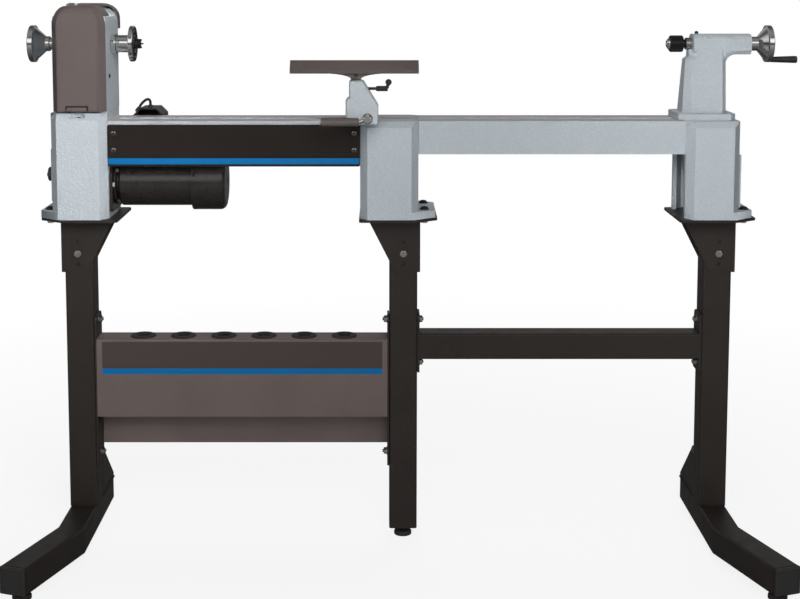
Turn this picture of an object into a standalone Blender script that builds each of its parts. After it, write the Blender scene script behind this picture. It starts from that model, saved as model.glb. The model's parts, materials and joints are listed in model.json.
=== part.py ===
"""Wood lathe on a tubular steel stand, with a bed extension and a tool shelf.

Lengths are metres.  X runs along the spindle towards the tailstock, Y runs away from
the operator, Z is up and the floor is at Z = 0.  Inside the `lathe` empty, X = 0 is the
inner face of the headstock and Y = 0 is the spindle axis.
"""
import math

import bmesh
import bpy
from mathutils import Matrix, Vector

for leftover in list(bpy.data.objects):
    bpy.data.objects.remove(leftover, do_unlink=True)

# ---------------------------------------------------------------- clearances
gap = 0.0003            # running and assembly clearance
weld = 0.001            # overlap of bodies fused into one piece
over = 0.010            # how far a cutter runs past the face it opens
half_turn = math.pi
quarter_turn = math.pi / 2

# ---------------------------------------------------------------- heights
swing_radius = 0.15875
bed_top = 0.9185
spindle_z = bed_top + swing_radius
bracket_top = 0.712
bracket_low = 0.7065
pedestal_z = bracket_top + gap

# ---------------------------------------------------------------- stand
post_size = 0.060
post_wall = 0.003
left_post_x = -0.074
middle_post_x = 0.620
right_post_x = 1.292
middle_post_z = 0.0225
middle_sole = 0.005
foot_width = 0.057
foot_low = 0.0197
foot_top = 0.075
foot_knee_y = 0.155
foot_splay = math.radians(19.2)
gusset_thick = 0.005
gusset_neck_y = 0.055
gusset_rise = 0.096
gusset_end_y = 0.157
gusset_lip = 0.008
stud_reach = 0.1853
foot_toe_room = 0.0247
foot_toe = stud_reach + foot_toe_room
stud_radius = 0.004
stud_hole = 0.0043
stud_top = 0.045
pad_radius = 0.019
pad_high = 0.010
jam_radius = 0.0075
jam_low = 0.0125
cap_flange = 0.010
cap_plug = 0.014
cap_bevel = 0.002
cap_recess = 0.0015
cap_rim = 0.006

bracket_outer = 0.071
bracket_inner = 0.094
bracket_half = 0.088
bracket_shoulder_x = 0.025
bracket_shoulder_y = 0.055
bracket_corner = 0.005
cheek_half = 0.034
cheek_back = 0.0358
cheek_front = 0.077
cheek_knee_x = 0.029
cheek_knee_z = 0.613
cheek_toe_x = 0.020
cheek_low = 0.591
cheek_round = 0.008
cheek_holes = (0.657, 0.631, 0.6085)
post_bolt_z = 0.631
post_bolt_hole = 0.0043
post_bolt_radius = 0.004
post_bolt_head = 0.0076
post_bolt_head_high = 0.0055
post_bolt_nut_high = 0.0075
post_bolt_stub = 0.004

rail_half = 0.028
rail_low = 0.3983
rail_top = 0.4548
rail_wall = 0.003
rail_flange = 0.005
rail_flange_low = 0.369
rail_flange_top = 0.499
rail_bolts_z = (0.4813, 0.3869)

shelf_top = 0.4436
shelf_sheet = 0.002
shelf_front = -0.031
shelf_rear = 0.034
shelf_front_low = 0.273
shelf_rear_low = 0.195
shelf_end = 0.004
shelf_end_low = 0.163
shelf_end_top = 0.4945
shelf_end_half = 0.030
shelf_bolts_z = (0.4813, 0.1874)
grommet_first = 0.0568
grommet_pitch = 0.0871
grommet_count = 6
grommet_flange = 0.0275
grommet_flange_high = 0.003
grommet_neck = 0.0245
grommet_bore = 0.0145
grommet_depth = 0.008
grommet_sides = 16
small_bolt_radius = 0.004
small_bolt_hole = 0.0043
small_bolt_head = 0.0072
small_bolt_head_high = 0.0055
small_bolt_nut_high = 0.0065

# ---------------------------------------------------------------- bed castings
bed_half = 0.065
bed_wall = 0.010
bed_way = 0.015
bed_low = 0.824
bed_slot = 0.018
bed_slot_start = 0.012
channel_half = 0.032
channel_low = 0.870
pedestal_half = 0.090
pedestal_bevel_x = 0.0152
pedestal_bevel_y = 0.022
pedestal_wall = 0.008
head_left = -0.118
head_pad_z = 0.936
head_front_z = 0.921
head_top_step = 0.010
head_top_half = pedestal_half - head_top_step
head_top_wall = 0.012
head_cavity_half = head_top_half - head_top_wall
middle_left = 0.5283
middle_right = 0.6506
middle_front_z = 0.906
middle_top_step = 0.012
middle_top_half = pedestal_half - middle_top_step
sole_high = 0.016
sole_corner_y = 0.055
left_sole_reach = 0.0715
middle_sole_reach = 0.067
right_sole_reach = 0.063
left_sole_bolt = 0.0545
middle_sole_bolt = 0.044
right_sole_bolt = 0.0485
sole_bolt_y = 0.043
sole_bolt_head = 0.0075
sole_bolt_head_high = 0.0045
sole_bolt_nut_high = 0.0065
extension_left = 0.6509
extension_right = 1.3230
extension_low = 0.8483
extension_web = 0.012
right_left = 1.2105
right_pad_low = 0.735
right_pad_top = 0.846
right_pad_out = 0.0065
right_pad_half = 0.060
beam_fillet = 0.006
join_bolt_y = 0.045
join_bolt_z = 0.862
wall_port_half = 0.035
wall_port_low = 0.748
wall_port_top = 0.816
door_port_half = 0.050
door_port_low = 0.756
door_port_top = 0.850

# ---------------------------------------------------------------- bed panel and side door
panel_left = 0.0004
panel_right = 0.5280
panel_low = 0.8233
panel_top = 0.911
panel_front = -0.073
panel_back = -bed_half - gap
panel_bevel = 0.0035
panel_screws_x = (0.014, 0.516)
panel_screws_z = (0.893, 0.858)
panel_screw_head = 0.0055
panel_screw_radius = 0.0025
panel_screw_hole = 0.0028
door_thick = 0.003
door_low = 0.748
door_top = 0.859
door_half = 0.0610
door_hinge_radius = 0.0035
door_knob_radius = 0.015
door_knob_high = 0.0105
door_knob_y = -0.040
door_knob_z = 0.8035
finger_x = -0.060
finger_y = -0.0915
finger_radius = 0.019
finger_deep = 0.010
right_web = 0.012
door_lugs_z = (0.768, 0.839)

# ---------------------------------------------------------------- headstock
head_front = -0.068
head_rear = 0.072
head_round = 0.040
head_rise = 0.07875
head_crown = spindle_z + head_rise
head_lip = -0.0035
ledge_drop = 0.0195
head_ledge = head_crown - ledge_drop
head_left_wall = 0.014
casting_step = 0.006
casting_left = head_left + casting_step
head_right_wall = 0.018
head_rear_wall = 0.012
head_base = 0.010
head_roof = 0.006
head_shoulder = 0.030
head_screw_rise = 0.075
head_screw_z = head_pad_z + head_screw_rise
belt_port_half = 0.050
bearing_radius = 0.020
bearing_inset = 0.002
spindle_radius = 0.0125
shell = 0.003
rear_cover_deep = 0.028
rear_cover_y = head_rear + rear_cover_deep
rear_cover_rise = 0.0065
rear_cover_top = head_crown + rear_cover_rise
rear_cover_high = 0.0555
rear_cover_low = rear_cover_top - rear_cover_high
rear_cover_round = 0.040
rear_cover_front = 0.012
rear_pocket_front = 0.024
rear_cover_left = -0.104
rear_cover_right = 0.0
cover_gap = 0.004
cover_low = head_pad_z + cover_gap
cover_deep = 0.022
cover_front = head_front - cover_deep
cover_back = head_lip - gap
cover_rise = 0.0025
cover_top = head_crown + cover_rise
cover_round = 0.030
cover_drop = 0.044
cover_bevel = 0.013
cover_front_share = 0.6
cover_steps = 5
cover_flat = 0.2
tab_left = -0.0790
tab_right = -0.0375
tab_out = 0.004
tab_high = 0.009
lug_left = -0.0900
lug_right = -0.0775
lug_deep = 0.012
hinge_y = 0.000
hinge_rise = 0.004
hinge_z = head_crown + hinge_rise
hinge_radius = 0.0035
pin_radius = 0.0016
ear_wide = 0.005
ear_root = 0.0045

# ---------------------------------------------------------------- motor and drive
motor_z = 0.7826
pivot_y = 0.0545
pivot_hole = 0.0043
pivot_radius = 0.004
pivot_head = 0.005
pivot_head_high = 0.0035
nose_end = 0.040
nose_radius = 0.0127
arbor_deep = 0.035
arbor_radius = 0.0072
collar_start = 0.0004
collar_end = 0.0110
collar_radius = 0.02085
hub_end = 0.037
hub_radius = 0.0183
hub_neck = 0.0160
disc_start = 0.039
disc_end = 0.049
disc_radius = 0.0381
disc_edge = 0.0015
spur_point_x = 0.068
spur_taper = 0.003
spur_pin = 0.0018
spur_face_x = 0.0590
spur_head = 0.0105
prong_half = 0.0012
prong_end_x = 0.064
tail_radius = 0.010
tail_end = -0.165
wheel_hub_x = -0.131
wheel_hub = 0.01585
wheel_hub_long = 0.008
wheel_cone = 0.0345
wheel_rim_x = -0.160
wheel_edge = 0.0015
wheel_radius = 0.03925
wheel_face_x = -0.1725
wheel_dish = 0.029
wheel_dish_deep = 0.005
wheel_boss = 0.014
wheel_boss_deep = 0.0125
pulley_right = -0.029
pulley_step = 0.022
pulley_steps = (0.040, 0.031, 0.022)
index_radius = 0.0425
index_wide = 0.006
belt_thick = 0.004
belt_wide = 0.012
rotor_radius = 0.008
rotor_end = 0.030
rotor_start = -0.099
plate_thick = 0.006
plate_half = 0.060
plate_low = 0.725
plate_top = 0.8205
plate_corner = 0.008
plate_port = 0.015
slot_long = 0.008
slot_half = 0.0049
plate_bevel = 0.014
flange_thick = 0.004
flange_radius = 0.049
neck_radius = 0.036
body_start = 0.0166
body_end = 0.1706
body_edge = 0.004
body_radius = 0.0515
body_spigot = 0.014
fan_radius = 0.0604
fan_disc = 0.048
fan_end = 0.2421
fan_round = 0.014
fan_lip = 0.005

# ---------------------------------------------------------------- door latch, control box
door_axis_x = -0.1225
door_axis_y = 0.0655
door_lug_high = 0.006
lug_cheek = 0.0022
tongue_x = -0.1018
tongue_thick = 0.003
tongue_long = 0.0145
tongue_half = 0.005
box_left = 0.0173
box_right = 0.0963
box_flat_left = 0.046
box_flat_right = 0.082
box_low = 0.820
box_top = 0.934
box_rear = 0.140
knob_x = 0.074
knob_z = 0.885
knob_radius = 0.014
knob_high = 0.016
knob_stem = 0.0045
pointer_half = 0.001
switch_x = 0.042
switch_z = 0.880
switch_half_x = 0.010
switch_half_z = 0.007
cable_y = 0.100
cable_radius = 0.003
cable_loop = ((0.004, 0.0075), (0.011, 0.0145), (0.018, 0.0180), (0.0225, 0.0165))
cable_drop = 0.0070
cable_start = 0.0008
gland_left_x = 0.0395
gland_left_z = 0.9325
gland_lean = 0.005
gland_deep = 0.010
gland_radius = 0.0060
gland_tip = 0.0045
gland_right_x = 0.0635
gland_right_z = 0.9380

# ---------------------------------------------------------------- banjo and tool rest
cam_x = 0.5445
cam_z = 0.9316
cam_radius = 0.006
cam_ring = 0.0115
cam_ring_high = 0.004
cam_hub = 0.0085
eye_half = 0.006
eye_radius = 0.0105
eye_bore = 0.0072
eye_room = 0.012
clamp_bolt_radius = 0.005
clamp_head = 0.009
clamp_head_high = 0.009
clamp_low = 0.890
clamp_half = 0.030
clamp_long = 0.030
cross_travel = 0.030
foot_left = 0.500
foot_right = 0.5666
foot_back = 0.052
foot_crown = 0.946
foot_end_wall = 0.004
column_left = 0.507
column_right = 0.5355
column_top = 1.0086
column_knee_z = 0.957
column_step_z = 0.972
column_front = -0.149
column_back = -0.101
column_bevel = 0.003
rib_half = 0.010
rib_toe_y = -0.050
rib_top = 0.990
post_at_x = 0.5210
post_at_y = -0.125
post_radius = 0.0095
post_low = 0.930
spigot_radius = 0.006
spigot_top = 1.0185
rest_left = 0.3865
rest_right = 0.6490
rest_front = -0.145
rest_back = -0.115
rest_low = 1.0225
rest_top = 1.0486
rest_toe = 0.0025
rest_heel = 0.004
rest_edge = 0.007
rest_neck = 0.010
flare_run = 0.060
flare_drop = 0.0120
flare_thick = 0.009
lever_y = -0.170
lever_stem = 0.005
grip_start = 0.528
grip_end = 0.4485
grip_z = 0.9265
grip_radius = 0.0085
lock_z = 0.991
lock_radius = 0.003
lock_hub_x = 0.562
lock_end_x = 0.586
lock_hub = 0.0055
lock_arm = 0.0042
lock_knob = 0.0065
lock_knob_x = 0.5875
lock_knob_z = 1.004

# ---------------------------------------------------------------- tailstock
tail_base_left = 1.1966
tail_base_right = 1.3157
tail_base_high = 0.0137
tail_base_bevel = 0.012
tail_foot_left = 1.2098
tail_foot_half = 0.042
tail_column_left = 1.2163
tail_neck_left = 1.2240
tail_neck_rise = 0.006
tail_column_right = 1.3007
tail_column_half = 0.030
tail_shoulder_z = 1.045
tail_bevel_left = 0.015
tail_bevel_right = 0.009
barrel_left = 1.2320
barrel_right = 1.3545
barrel_half = 0.026
barrel_over = 0.021
barrel_under = 0.022
barrel_round = 0.016
barrel_chamfer = 0.008
barrel_edge = 0.002
barrel_wall = 0.010
under_round = 0.022
tongue_left = 1.205
tongue_right = 1.295
tongue_wide = 0.0175
tongue_deep = 0.0145
tail_bolt_x = 1.2577
tail_cam_z = 0.952
tail_pocket_half = 0.008
tail_shaft_front = -0.020
tail_hub_front = 0.043
tail_hub_back = 0.057
tail_grip_x = 1.288
tail_grip_z = 1.020
quill_radius = 0.0129
quill_front = 1.2185
quill_rear = 1.341
quill_socket = 0.031
quill_rear_room = 0.003
screw_radius = 0.006
screw_start = 1.265
live_back = 1.2132
live_front = 1.1852
live_radius = 0.01775
live_neck = 0.009
live_axle = 0.0042
live_axle_end = 1.2045
live_cone = 0.0130
live_tip = 0.0065
live_tip_x = 1.1785
hand_face = 1.4000
hand_boss = 0.010
hand_boss_deep = 0.010
hand_dish = 0.028
hand_dish_deep = 0.005
hand_cone = 0.0345
hand_radius = 0.03935
hand_rim = 0.0120
hand_collar = 0.015
hand_neck_x = 1.3713
crank_radius = 0.0336
crank_pin = 0.0025
crank_end = 1.4567
crank_grip = 0.00585
crank_grip_end = 0.0075
quill_lock_x = 1.2498
quill_lock_hub_y = 0.028
quill_lock_top = 1.1033

# ---------------------------------------------------------------- placing on the floor
frame_x = -(wheel_face_x + crank_end) / 2

# ---------------------------------------------------------------- scene, materials
lathe_parts = bpy.data.collections.new("wood_lathe")
cutters = bpy.data.collections.new("cutters")
bpy.context.scene.collection.children.link(lathe_parts)
bpy.context.scene.collection.children.link(cutters)
lathe = bpy.data.objects.new("lathe", None)
lathe_parts.objects.link(lathe)
lathe.location = (frame_x, 0, 0)


def paint(name, colour, roughness, metallic):
    """Make one Principled material."""
    made = bpy.data.materials.new(name)
    made.use_nodes = True
    made.diffuse_color = (*colour, 1)
    shader = made.node_tree.nodes["Principled BSDF"]
    shader.inputs["Base Color"].default_value = (*colour, 1)
    shader.inputs["Roughness"].default_value = roughness
    shader.inputs["Metallic"].default_value = metallic
    return made


hammertone = paint("hammertone", (0.40, 0.47, 0.52), 0.45, 0.0)
stand_paint = paint("stand_paint", (0.045, 0.038, 0.034), 0.45, 0.0)
shelf_paint = paint("shelf_paint", (0.060, 0.052, 0.048), 0.50, 0.0)
cover_plastic = paint("cover_plastic", (0.140, 0.112, 0.105), 0.55, 0.0)
panel_paint = paint("panel_paint", (0.030, 0.027, 0.025), 0.50, 0.0)
black_plastic = paint("black_plastic", (0.025, 0.023, 0.022), 0.45, 0.0)
black_paint = paint("black_paint", (0.022, 0.020, 0.020), 0.35, 0.0)
rubber = paint("rubber", (0.030, 0.026, 0.024), 0.80, 0.0)
chrome = paint("chrome", (0.78, 0.77, 0.76), 0.12, 1.0)
zinc = paint("zinc", (0.55, 0.55, 0.53), 0.35, 1.0)
steel = paint("steel", (0.50, 0.49, 0.47), 0.30, 1.0)
alloy = paint("alloy", (0.62, 0.62, 0.62), 0.40, 1.0)
black_steel = paint("black_steel", (0.030, 0.028, 0.028), 0.40, 0.6)
rest_paint = paint("rest_paint", (0.110, 0.090, 0.085), 0.50, 0.0)


# ---------------------------------------------------------------- modelling helpers
def place(mesh, name, at=(0, 0, 0), turn=(0, 0, 0)):
    """Put a mesh in the lathe frame as an object."""
    made = bpy.data.objects.new(name, mesh)
    lathe_parts.objects.link(made)
    made.parent = lathe
    made.location = at
    made.rotation_euler = turn
    return made


def dress(target, material, angle=35):
    """Give a piece its material and smooth shading with sharp edges kept."""
    target.data.materials.clear()
    target.data.materials.append(material)
    target.data.shade_smooth()
    target.data.set_sharp_from_angle(angle=math.radians(angle))
    return target


def block(low, high, bevel=0.0, steps=1, name="block"):
    """Box between two corners, its origin at its centre."""
    shape = bmesh.new()
    bmesh.ops.create_cube(shape, size=1)
    spans = [top - bottom for bottom, top in zip(low, high)]
    bmesh.ops.scale(shape, vec=Vector(spans), verts=shape.verts)
    mesh = bpy.data.meshes.new(name)
    shape.to_mesh(mesh)
    shape.free()
    centre = [(top + bottom) / 2 for bottom, top in zip(low, high)]
    made = place(mesh, name, centre)
    if bevel:
        soften(made, bevel, steps)
    return made


def soften(target, width, steps=1, angle=30):
    """Bevel the sharp edges of a piece."""
    edge = target.modifiers.new("soft_edges", "BEVEL")
    edge.width = width
    edge.segments = steps
    edge.limit_method = "ANGLE"
    edge.angle_limit = math.radians(angle)
    return target


def rod(start, end, radius, sides=16, tip=None, name="rod"):
    """Cylinder or cone between two points, its origin at its centre."""
    a = Vector(start)
    b = Vector(end)
    shape = bmesh.new()
    bmesh.ops.create_cone(shape, cap_ends=True, cap_tris=False, segments=sides,
                          radius1=radius, radius2=radius if tip is None else tip,
                          depth=(b - a).length)
    lean = (b - a).to_track_quat("Z", "Y").to_matrix().to_4x4()
    bmesh.ops.transform(shape, matrix=lean, verts=shape.verts)
    mesh = bpy.data.meshes.new(name)
    shape.to_mesh(mesh)
    shape.free()
    return place(mesh, name, (a + b) / 2)


toward = {
    "+X": (0, quarter_turn, 0),
    "-X": (0, -quarter_turn, 0),
    "+Y": (-quarter_turn, 0, 0),
    "-Y": (quarter_turn, 0, 0),
    "+Z": (0, 0, 0),
}


def turned(profile, at, axis, sides=24, ring=False, name="turned"):
    """Revolve (radius, station) points, given from the far end down the outer side."""
    mesh = bpy.data.meshes.new(name)
    points = [(radius, 0, station) for radius, station in profile]
    edges = [(i, i + 1) for i in range(len(points) - 1)]
    if ring:
        edges.append((len(points) - 1, 0))
    mesh.from_pydata(points, edges, [])
    made = place(mesh, name, at, toward[axis])
    spin = made.modifiers.new("revolve", "SCREW")
    spin.axis = "Z"
    spin.angle = 2 * half_turn
    spin.steps = sides
    spin.render_steps = sides
    spin.use_merge_vertices = True
    spin.merge_threshold = 0.00001
    spin.use_smooth_shade = True
    return freeze(made)


def freeze(target):
    """Replace a piece by its finished mesh, in the lathe frame."""
    bpy.context.view_layer.update()
    graph = bpy.context.evaluated_depsgraph_get()
    mesh = bpy.data.meshes.new_from_object(target.evaluated_get(graph))
    shift = Matrix.LocRotScale(target.location, target.rotation_euler, None)
    shape = bmesh.new()
    shape.from_mesh(mesh)
    bmesh.ops.remove_doubles(shape, verts=shape.verts, dist=0.00001)
    bmesh.ops.transform(shape, matrix=shift, verts=shape.verts)
    bmesh.ops.recalc_face_normals(shape, faces=shape.faces)
    shape.to_mesh(mesh)
    shape.free()
    target.modifiers.clear()
    target.data = mesh
    target.location = (0, 0, 0)
    target.rotation_euler = (0, 0, 0)
    return target


def plate(outlines, low, high, plane="XY", name="plate"):
    """Extrude flat outlines; a second outline inside the first is a hole."""
    curve = bpy.data.curves.new(name, "CURVE")
    curve.dimensions = "2D"
    curve.fill_mode = "BOTH"
    curve.extrude = (high - low) / 2
    for outline in outlines:
        line = curve.splines.new("POLY")
        line.points.add(len(outline) - 1)
        for point, (u, v) in zip(line.points, outline):
            point.co = (u, v, 0, 1)
        line.use_cyclic_u = True
    made = bpy.data.objects.new(name, curve)
    lathe_parts.objects.link(made)
    bpy.context.view_layer.update()
    graph = bpy.context.evaluated_depsgraph_get()
    mesh = bpy.data.meshes.new_from_object(made.evaluated_get(graph))
    bpy.data.objects.remove(made, do_unlink=True)
    shape = bmesh.new()
    shape.from_mesh(mesh)
    bmesh.ops.remove_doubles(shape, verts=shape.verts, dist=0.00001)
    middle = (low + high) / 2
    frames = {
        "XY": Matrix(((1, 0, 0, 0), (0, 1, 0, 0), (0, 0, 1, middle), (0, 0, 0, 1))),
        "XZ": Matrix(((1, 0, 0, 0), (0, 0, -1, middle), (0, 1, 0, 0), (0, 0, 0, 1))),
        "YZ": Matrix(((0, 0, 1, middle), (1, 0, 0, 0), (0, 1, 0, 0), (0, 0, 0, 1))),
    }
    bmesh.ops.transform(shape, matrix=frames[plane], verts=shape.verts)
    bmesh.ops.recalc_face_normals(shape, faces=shape.faces)
    shape.to_mesh(mesh)
    shape.free()
    return place(mesh, name)


def loft(rings, name="loft"):
    """Skin a stack of equal-count rings of points and cap both ends."""
    shape = bmesh.new()
    rows = [[shape.verts.new(point) for point in ring] for ring in rings]
    count = len(rows[0])
    for lower, upper in zip(rows, rows[1:]):
        for i in range(count):
            j = (i + 1) % count
            shape.faces.new((lower[i], lower[j], upper[j], upper[i]))
    shape.faces.new(list(reversed(rows[0])))
    shape.faces.new(rows[-1])
    bmesh.ops.recalc_face_normals(shape, faces=shape.faces)
    mesh = bpy.data.meshes.new(name)
    shape.to_mesh(mesh)
    shape.free()
    return place(mesh, name)


def boolean(target, tools, operation):
    """Apply exact Booleans to a piece and tidy the result."""
    for tool in tools:
        step = target.modifiers.new(operation.lower(), "BOOLEAN")
        step.operation = operation
        step.solver = "EXACT"
        step.object = tool
        for home in list(tool.users_collection):
            home.objects.unlink(tool)
        cutters.objects.link(tool)
        tool.hide_render = True
        tool.display_type = "WIRE"
    return target


def cut(target, *tools):
    return boolean(target, tools, "DIFFERENCE")


def join(target, *tools):
    return boolean(target, tools, "UNION")


def keep(target, *tools):
    return boolean(target, tools, "INTERSECT")


def finish(target, name, material, pivot=None, angle=35):
    """Settle a piece: apply its steps, name it, paint it and set its origin."""
    freeze(target)
    target.name = name
    target.data.name = name
    if pivot is not None:
        target.data.transform(Matrix.Translation(-Vector(pivot)))
        target.location = pivot
    return dress(target, material, angle)


def copies(template, material, places):
    """Named copies of one finished template that share its mesh."""
    freeze(template)
    dress(template, material)
    for name, where in places.items():
        twin = place(template.data, name)
        twin.matrix_local = where
    bpy.data.objects.remove(template, do_unlink=True)


def at_places(template, places):
    """Copies of one template in one mesh, to be joined to or cut from a piece."""
    freeze(template)
    shape = bmesh.new()
    for where in places:
        mesh = template.data.copy()
        mesh.transform(where)
        shape.from_mesh(mesh)
        bpy.data.meshes.remove(mesh)
    mesh = bpy.data.meshes.new("copies")
    shape.to_mesh(mesh)
    shape.free()
    bpy.data.objects.remove(template, do_unlink=True)
    return [place(mesh, "copies")]


def facing(axis, at):
    """Matrix that turns local +Z to an axis and moves it to a point."""
    turn = toward[axis]
    lean = Matrix.Rotation(turn[1], 4, "Y") @ Matrix.Rotation(turn[0], 4, "X")
    return Matrix.Translation(at) @ lean


def ribbon(points, width):
    """Outline of a strip of constant width with mitred corners."""
    half = width / 2
    left = []
    right = []
    last = len(points) - 1
    for i, point in enumerate(points):
        here = Vector(point)
        before = (here - Vector(points[i - 1])).normalized() if i else None
        after = (Vector(points[i + 1]) - here).normalized() if i < last else None
        if before is None:
            before = after
        if after is None:
            after = before
        mean = (before + after).normalized()
        side = Vector((-mean.y, mean.x))
        reach = half / mean.dot(before)
        left.append(tuple(here + side * reach))
        right.append(tuple(here - side * reach))
    return left + right[::-1]


def rounded(points, radius, steps=3):
    """Round each corner of an outline; a corner may give its own radius."""
    result = []
    count = len(points)
    for i, point in enumerate(points):
        reach = point[2] if len(point) > 2 else radius
        here = Vector(point[:2])
        before = (Vector(points[i - 1][:2]) - here).normalized()
        after = (Vector(points[(i + 1) % count][:2]) - here).normalized()
        if reach <= 0:
            result.append(tuple(here))
            continue
        half = before.angle(after) / 2
        run = reach / math.tan(half)
        centre = here + (before + after).normalized() * (reach / math.sin(half))
        first = here + before * run - centre
        sweep = first.angle_signed(here + after * run - centre)
        for step in range(steps + 1):
            turn = -sweep * step / steps
            x = first.x * math.cos(turn) - first.y * math.sin(turn)
            y = first.x * math.sin(turn) + first.y * math.cos(turn)
            result.append((centre.x + x, centre.y + y))
    return result


def arc(centre, radius, start, end, steps):
    """Points along an arc, angles in degrees."""
    result = []
    for step in range(steps + 1):
        angle = math.radians(start + (end - start) * step / steps)
        result.append((centre[0] + radius * math.cos(angle),
                       centre[1] + radius * math.sin(angle)))
    return result


def eight(left, right, half, bevel_x, bevel_y, z):
    """Rectangle with bevelled corners at one height."""
    return [
        (left + bevel_x, -half, z), (right - bevel_x, -half, z),
        (right, bevel_y - half, z), (right, half - bevel_y, z),
        (right - bevel_x, half, z), (left + bevel_x, half, z),
        (left, half - bevel_y, z), (left, bevel_y - half, z),
    ]


def bolt(head, head_high, shank, length, tip_radius=None, tip_high=0.0, stub=0.0,
         sides=6):
    """Bolt along +Z, its head above Z = 0; an optional nut closes the far end."""
    profile = [(0, head_high), (head, head_high), (head, 0), (shank, 0)]
    if tip_radius:
        profile += [(shank, -length), (tip_radius, -length),
                    (tip_radius, -length - tip_high)]
        if stub:
            profile += [(shank, -length - tip_high), (shank, -length - tip_high - stub)]
            profile += [(0, -length - tip_high - stub)]
        else:
            profile += [(0, -length - tip_high)]
    else:
        profile += [(shank, -length), (0, -length)]
    return turned(profile, (0, 0, 0), "+Z", sides, name="bolt")

# ================================================================ stand
post_half = post_size / 2
post_bore = post_half - post_wall
post_top = bracket_low - gap
inner_side = {left_post_x: 1, middle_post_x: -1, right_post_x: -1}


def cheek_hole_tools(post_x, heights, radius):
    """Cylinders across the bracket and post at one post."""
    reach = bracket_half
    return [rod((post_x, -reach, z), (post_x, reach, z), radius, 12) for z in heights]


def bent_foot(post_x, outward):
    """Splayed foot tube with a socketed post and a rear gusset."""
    side = outward * math.sin(foot_splay)
    ahead = math.cos(foot_splay)
    toe_x = post_x + side * foot_toe
    toe_y = foot_knee_y + ahead * foot_toe
    far_x = post_x + side * (foot_toe + over)
    far_y = foot_knee_y + ahead * (foot_toe + over)
    spine = [(toe_x, toe_y), (post_x, foot_knee_y), (post_x, -foot_knee_y),
             (toe_x, -toe_y)]
    bore = [(far_x, far_y), (post_x, foot_knee_y), (post_x, -foot_knee_y),
            (far_x, -far_y)]
    leg = plate([ribbon(spine, foot_width)], foot_low, foot_top)
    upright = block((post_x - post_half, -post_half, foot_top - weld),
                    (post_x + post_half, post_half, post_top))
    face = post_x - outward * post_half
    faces = sorted((face, face + outward * gusset_thick))
    gusset = plate([[
        (post_half - weld, foot_top - weld), (gusset_end_y, foot_top - weld),
        (gusset_end_y, foot_top + gusset_lip),
        (gusset_neck_y, foot_top + gusset_rise),
        (post_half - weld, foot_top + gusset_rise),
    ]], faces[0], faces[1], "YZ")
    join(leg, upright, gusset)
    hollow = plate([ribbon(bore, foot_width - 2 * post_wall)],
                   foot_low + post_wall, foot_top - post_wall)
    tube_bore = block((post_x - post_bore, -post_bore, foot_top),
                      (post_x + post_bore, post_bore, post_top + over))
    stud_x = post_x + side * stud_reach
    stud_y = foot_knee_y + ahead * stud_reach
    holes = [rod((stud_x, y, 0), (stud_x, y, foot_low + foot_width / 2), stud_hole, 12)
             for y in (-stud_y, stud_y)]
    cut(leg, hollow, tube_bore, *holes, *cheek_hole_tools(post_x, (post_bolt_z,),
                                                           post_bolt_hole))
    return leg


def side_holes(face_x, heights):
    """Holes through one wall of a post for bolts along X."""
    return [rod((face_x - over, 0, z), (face_x + over, 0, z), small_bolt_hole, 12)
            for z in heights]


left_leg = bent_foot(left_post_x, -1)
cut(left_leg, *side_holes(left_post_x + post_half, shelf_bolts_z))
finish(left_leg, "left_leg", stand_paint)
right_leg = bent_foot(right_post_x, 1)
cut(right_leg, *side_holes(right_post_x - post_half, rail_bolts_z))
finish(right_leg, "right_leg", stand_paint)

middle_leg = block((middle_post_x - post_half, -post_half, middle_post_z),
                   (middle_post_x + post_half, post_half, post_top))
middle_bore = block((middle_post_x - post_bore, -post_bore, middle_post_z + middle_sole),
                    (middle_post_x + post_bore, post_bore, post_top + over))
cut(middle_leg, middle_bore,
    rod((middle_post_x, 0, 0), (middle_post_x, 0, stud_top), stud_hole, 12),
    *cheek_hole_tools(middle_post_x, (post_bolt_z,), post_bolt_hole),
    *side_holes(middle_post_x - post_half, shelf_bolts_z),
    *side_holes(middle_post_x + post_half, rail_bolts_z))
finish(middle_leg, "middle_leg", stand_paint)


def socket_bracket(post_x, sole_bolt):
    """Top plate with a channel that straddles the post."""
    way = inner_side[post_x]

    def at(u, v):
        return post_x + way * u, v

    outline = [
        at(-bracket_outer, -bracket_shoulder_y), at(-bracket_shoulder_x, -bracket_half),
        at(bracket_inner - bracket_corner, -bracket_half),
        at(bracket_inner, bracket_corner - bracket_half),
        at(bracket_inner, bracket_half - bracket_corner),
        at(bracket_inner - bracket_corner, bracket_half),
        at(-bracket_shoulder_x, bracket_half), at(-bracket_outer, bracket_shoulder_y),
    ]
    bracket = plate([outline], bracket_low, bracket_top)
    cheeks = plate([rounded([
        (post_x - way * cheek_back, bracket_low + weld, 0),
        (post_x + way * cheek_front, bracket_low + weld, 0),
        (post_x + way * cheek_knee_x, cheek_knee_z, cheek_round),
        (post_x + way * cheek_toe_x, cheek_low, cheek_round),
        (post_x - way * cheek_back, cheek_low, 0),
    ], 0)], -cheek_half, cheek_half, "XZ")
    join(bracket, cheeks)
    rim = post_half + gap
    edges = sorted((post_x - way * rim, post_x + way * (cheek_front + over)))
    throat = block((edges[0], -rim, cheek_low - over), (edges[1], rim, bracket_low))
    bolts_x = post_x - way * sole_bolt
    holes = [rod((bolts_x, y, bracket_low - over), (bolts_x, y, bracket_top + over),
                 small_bolt_hole, 12) for y in (-sole_bolt_y, sole_bolt_y)]
    return cut(bracket, throat, *holes,
               *cheek_hole_tools(post_x, cheek_holes, post_bolt_hole))


finish(socket_bracket(left_post_x, left_sole_bolt), "left_bracket", stand_paint)
finish(socket_bracket(middle_post_x, middle_sole_bolt), "middle_bracket", stand_paint)
finish(socket_bracket(right_post_x, right_sole_bolt), "right_bracket", stand_paint)

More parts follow.
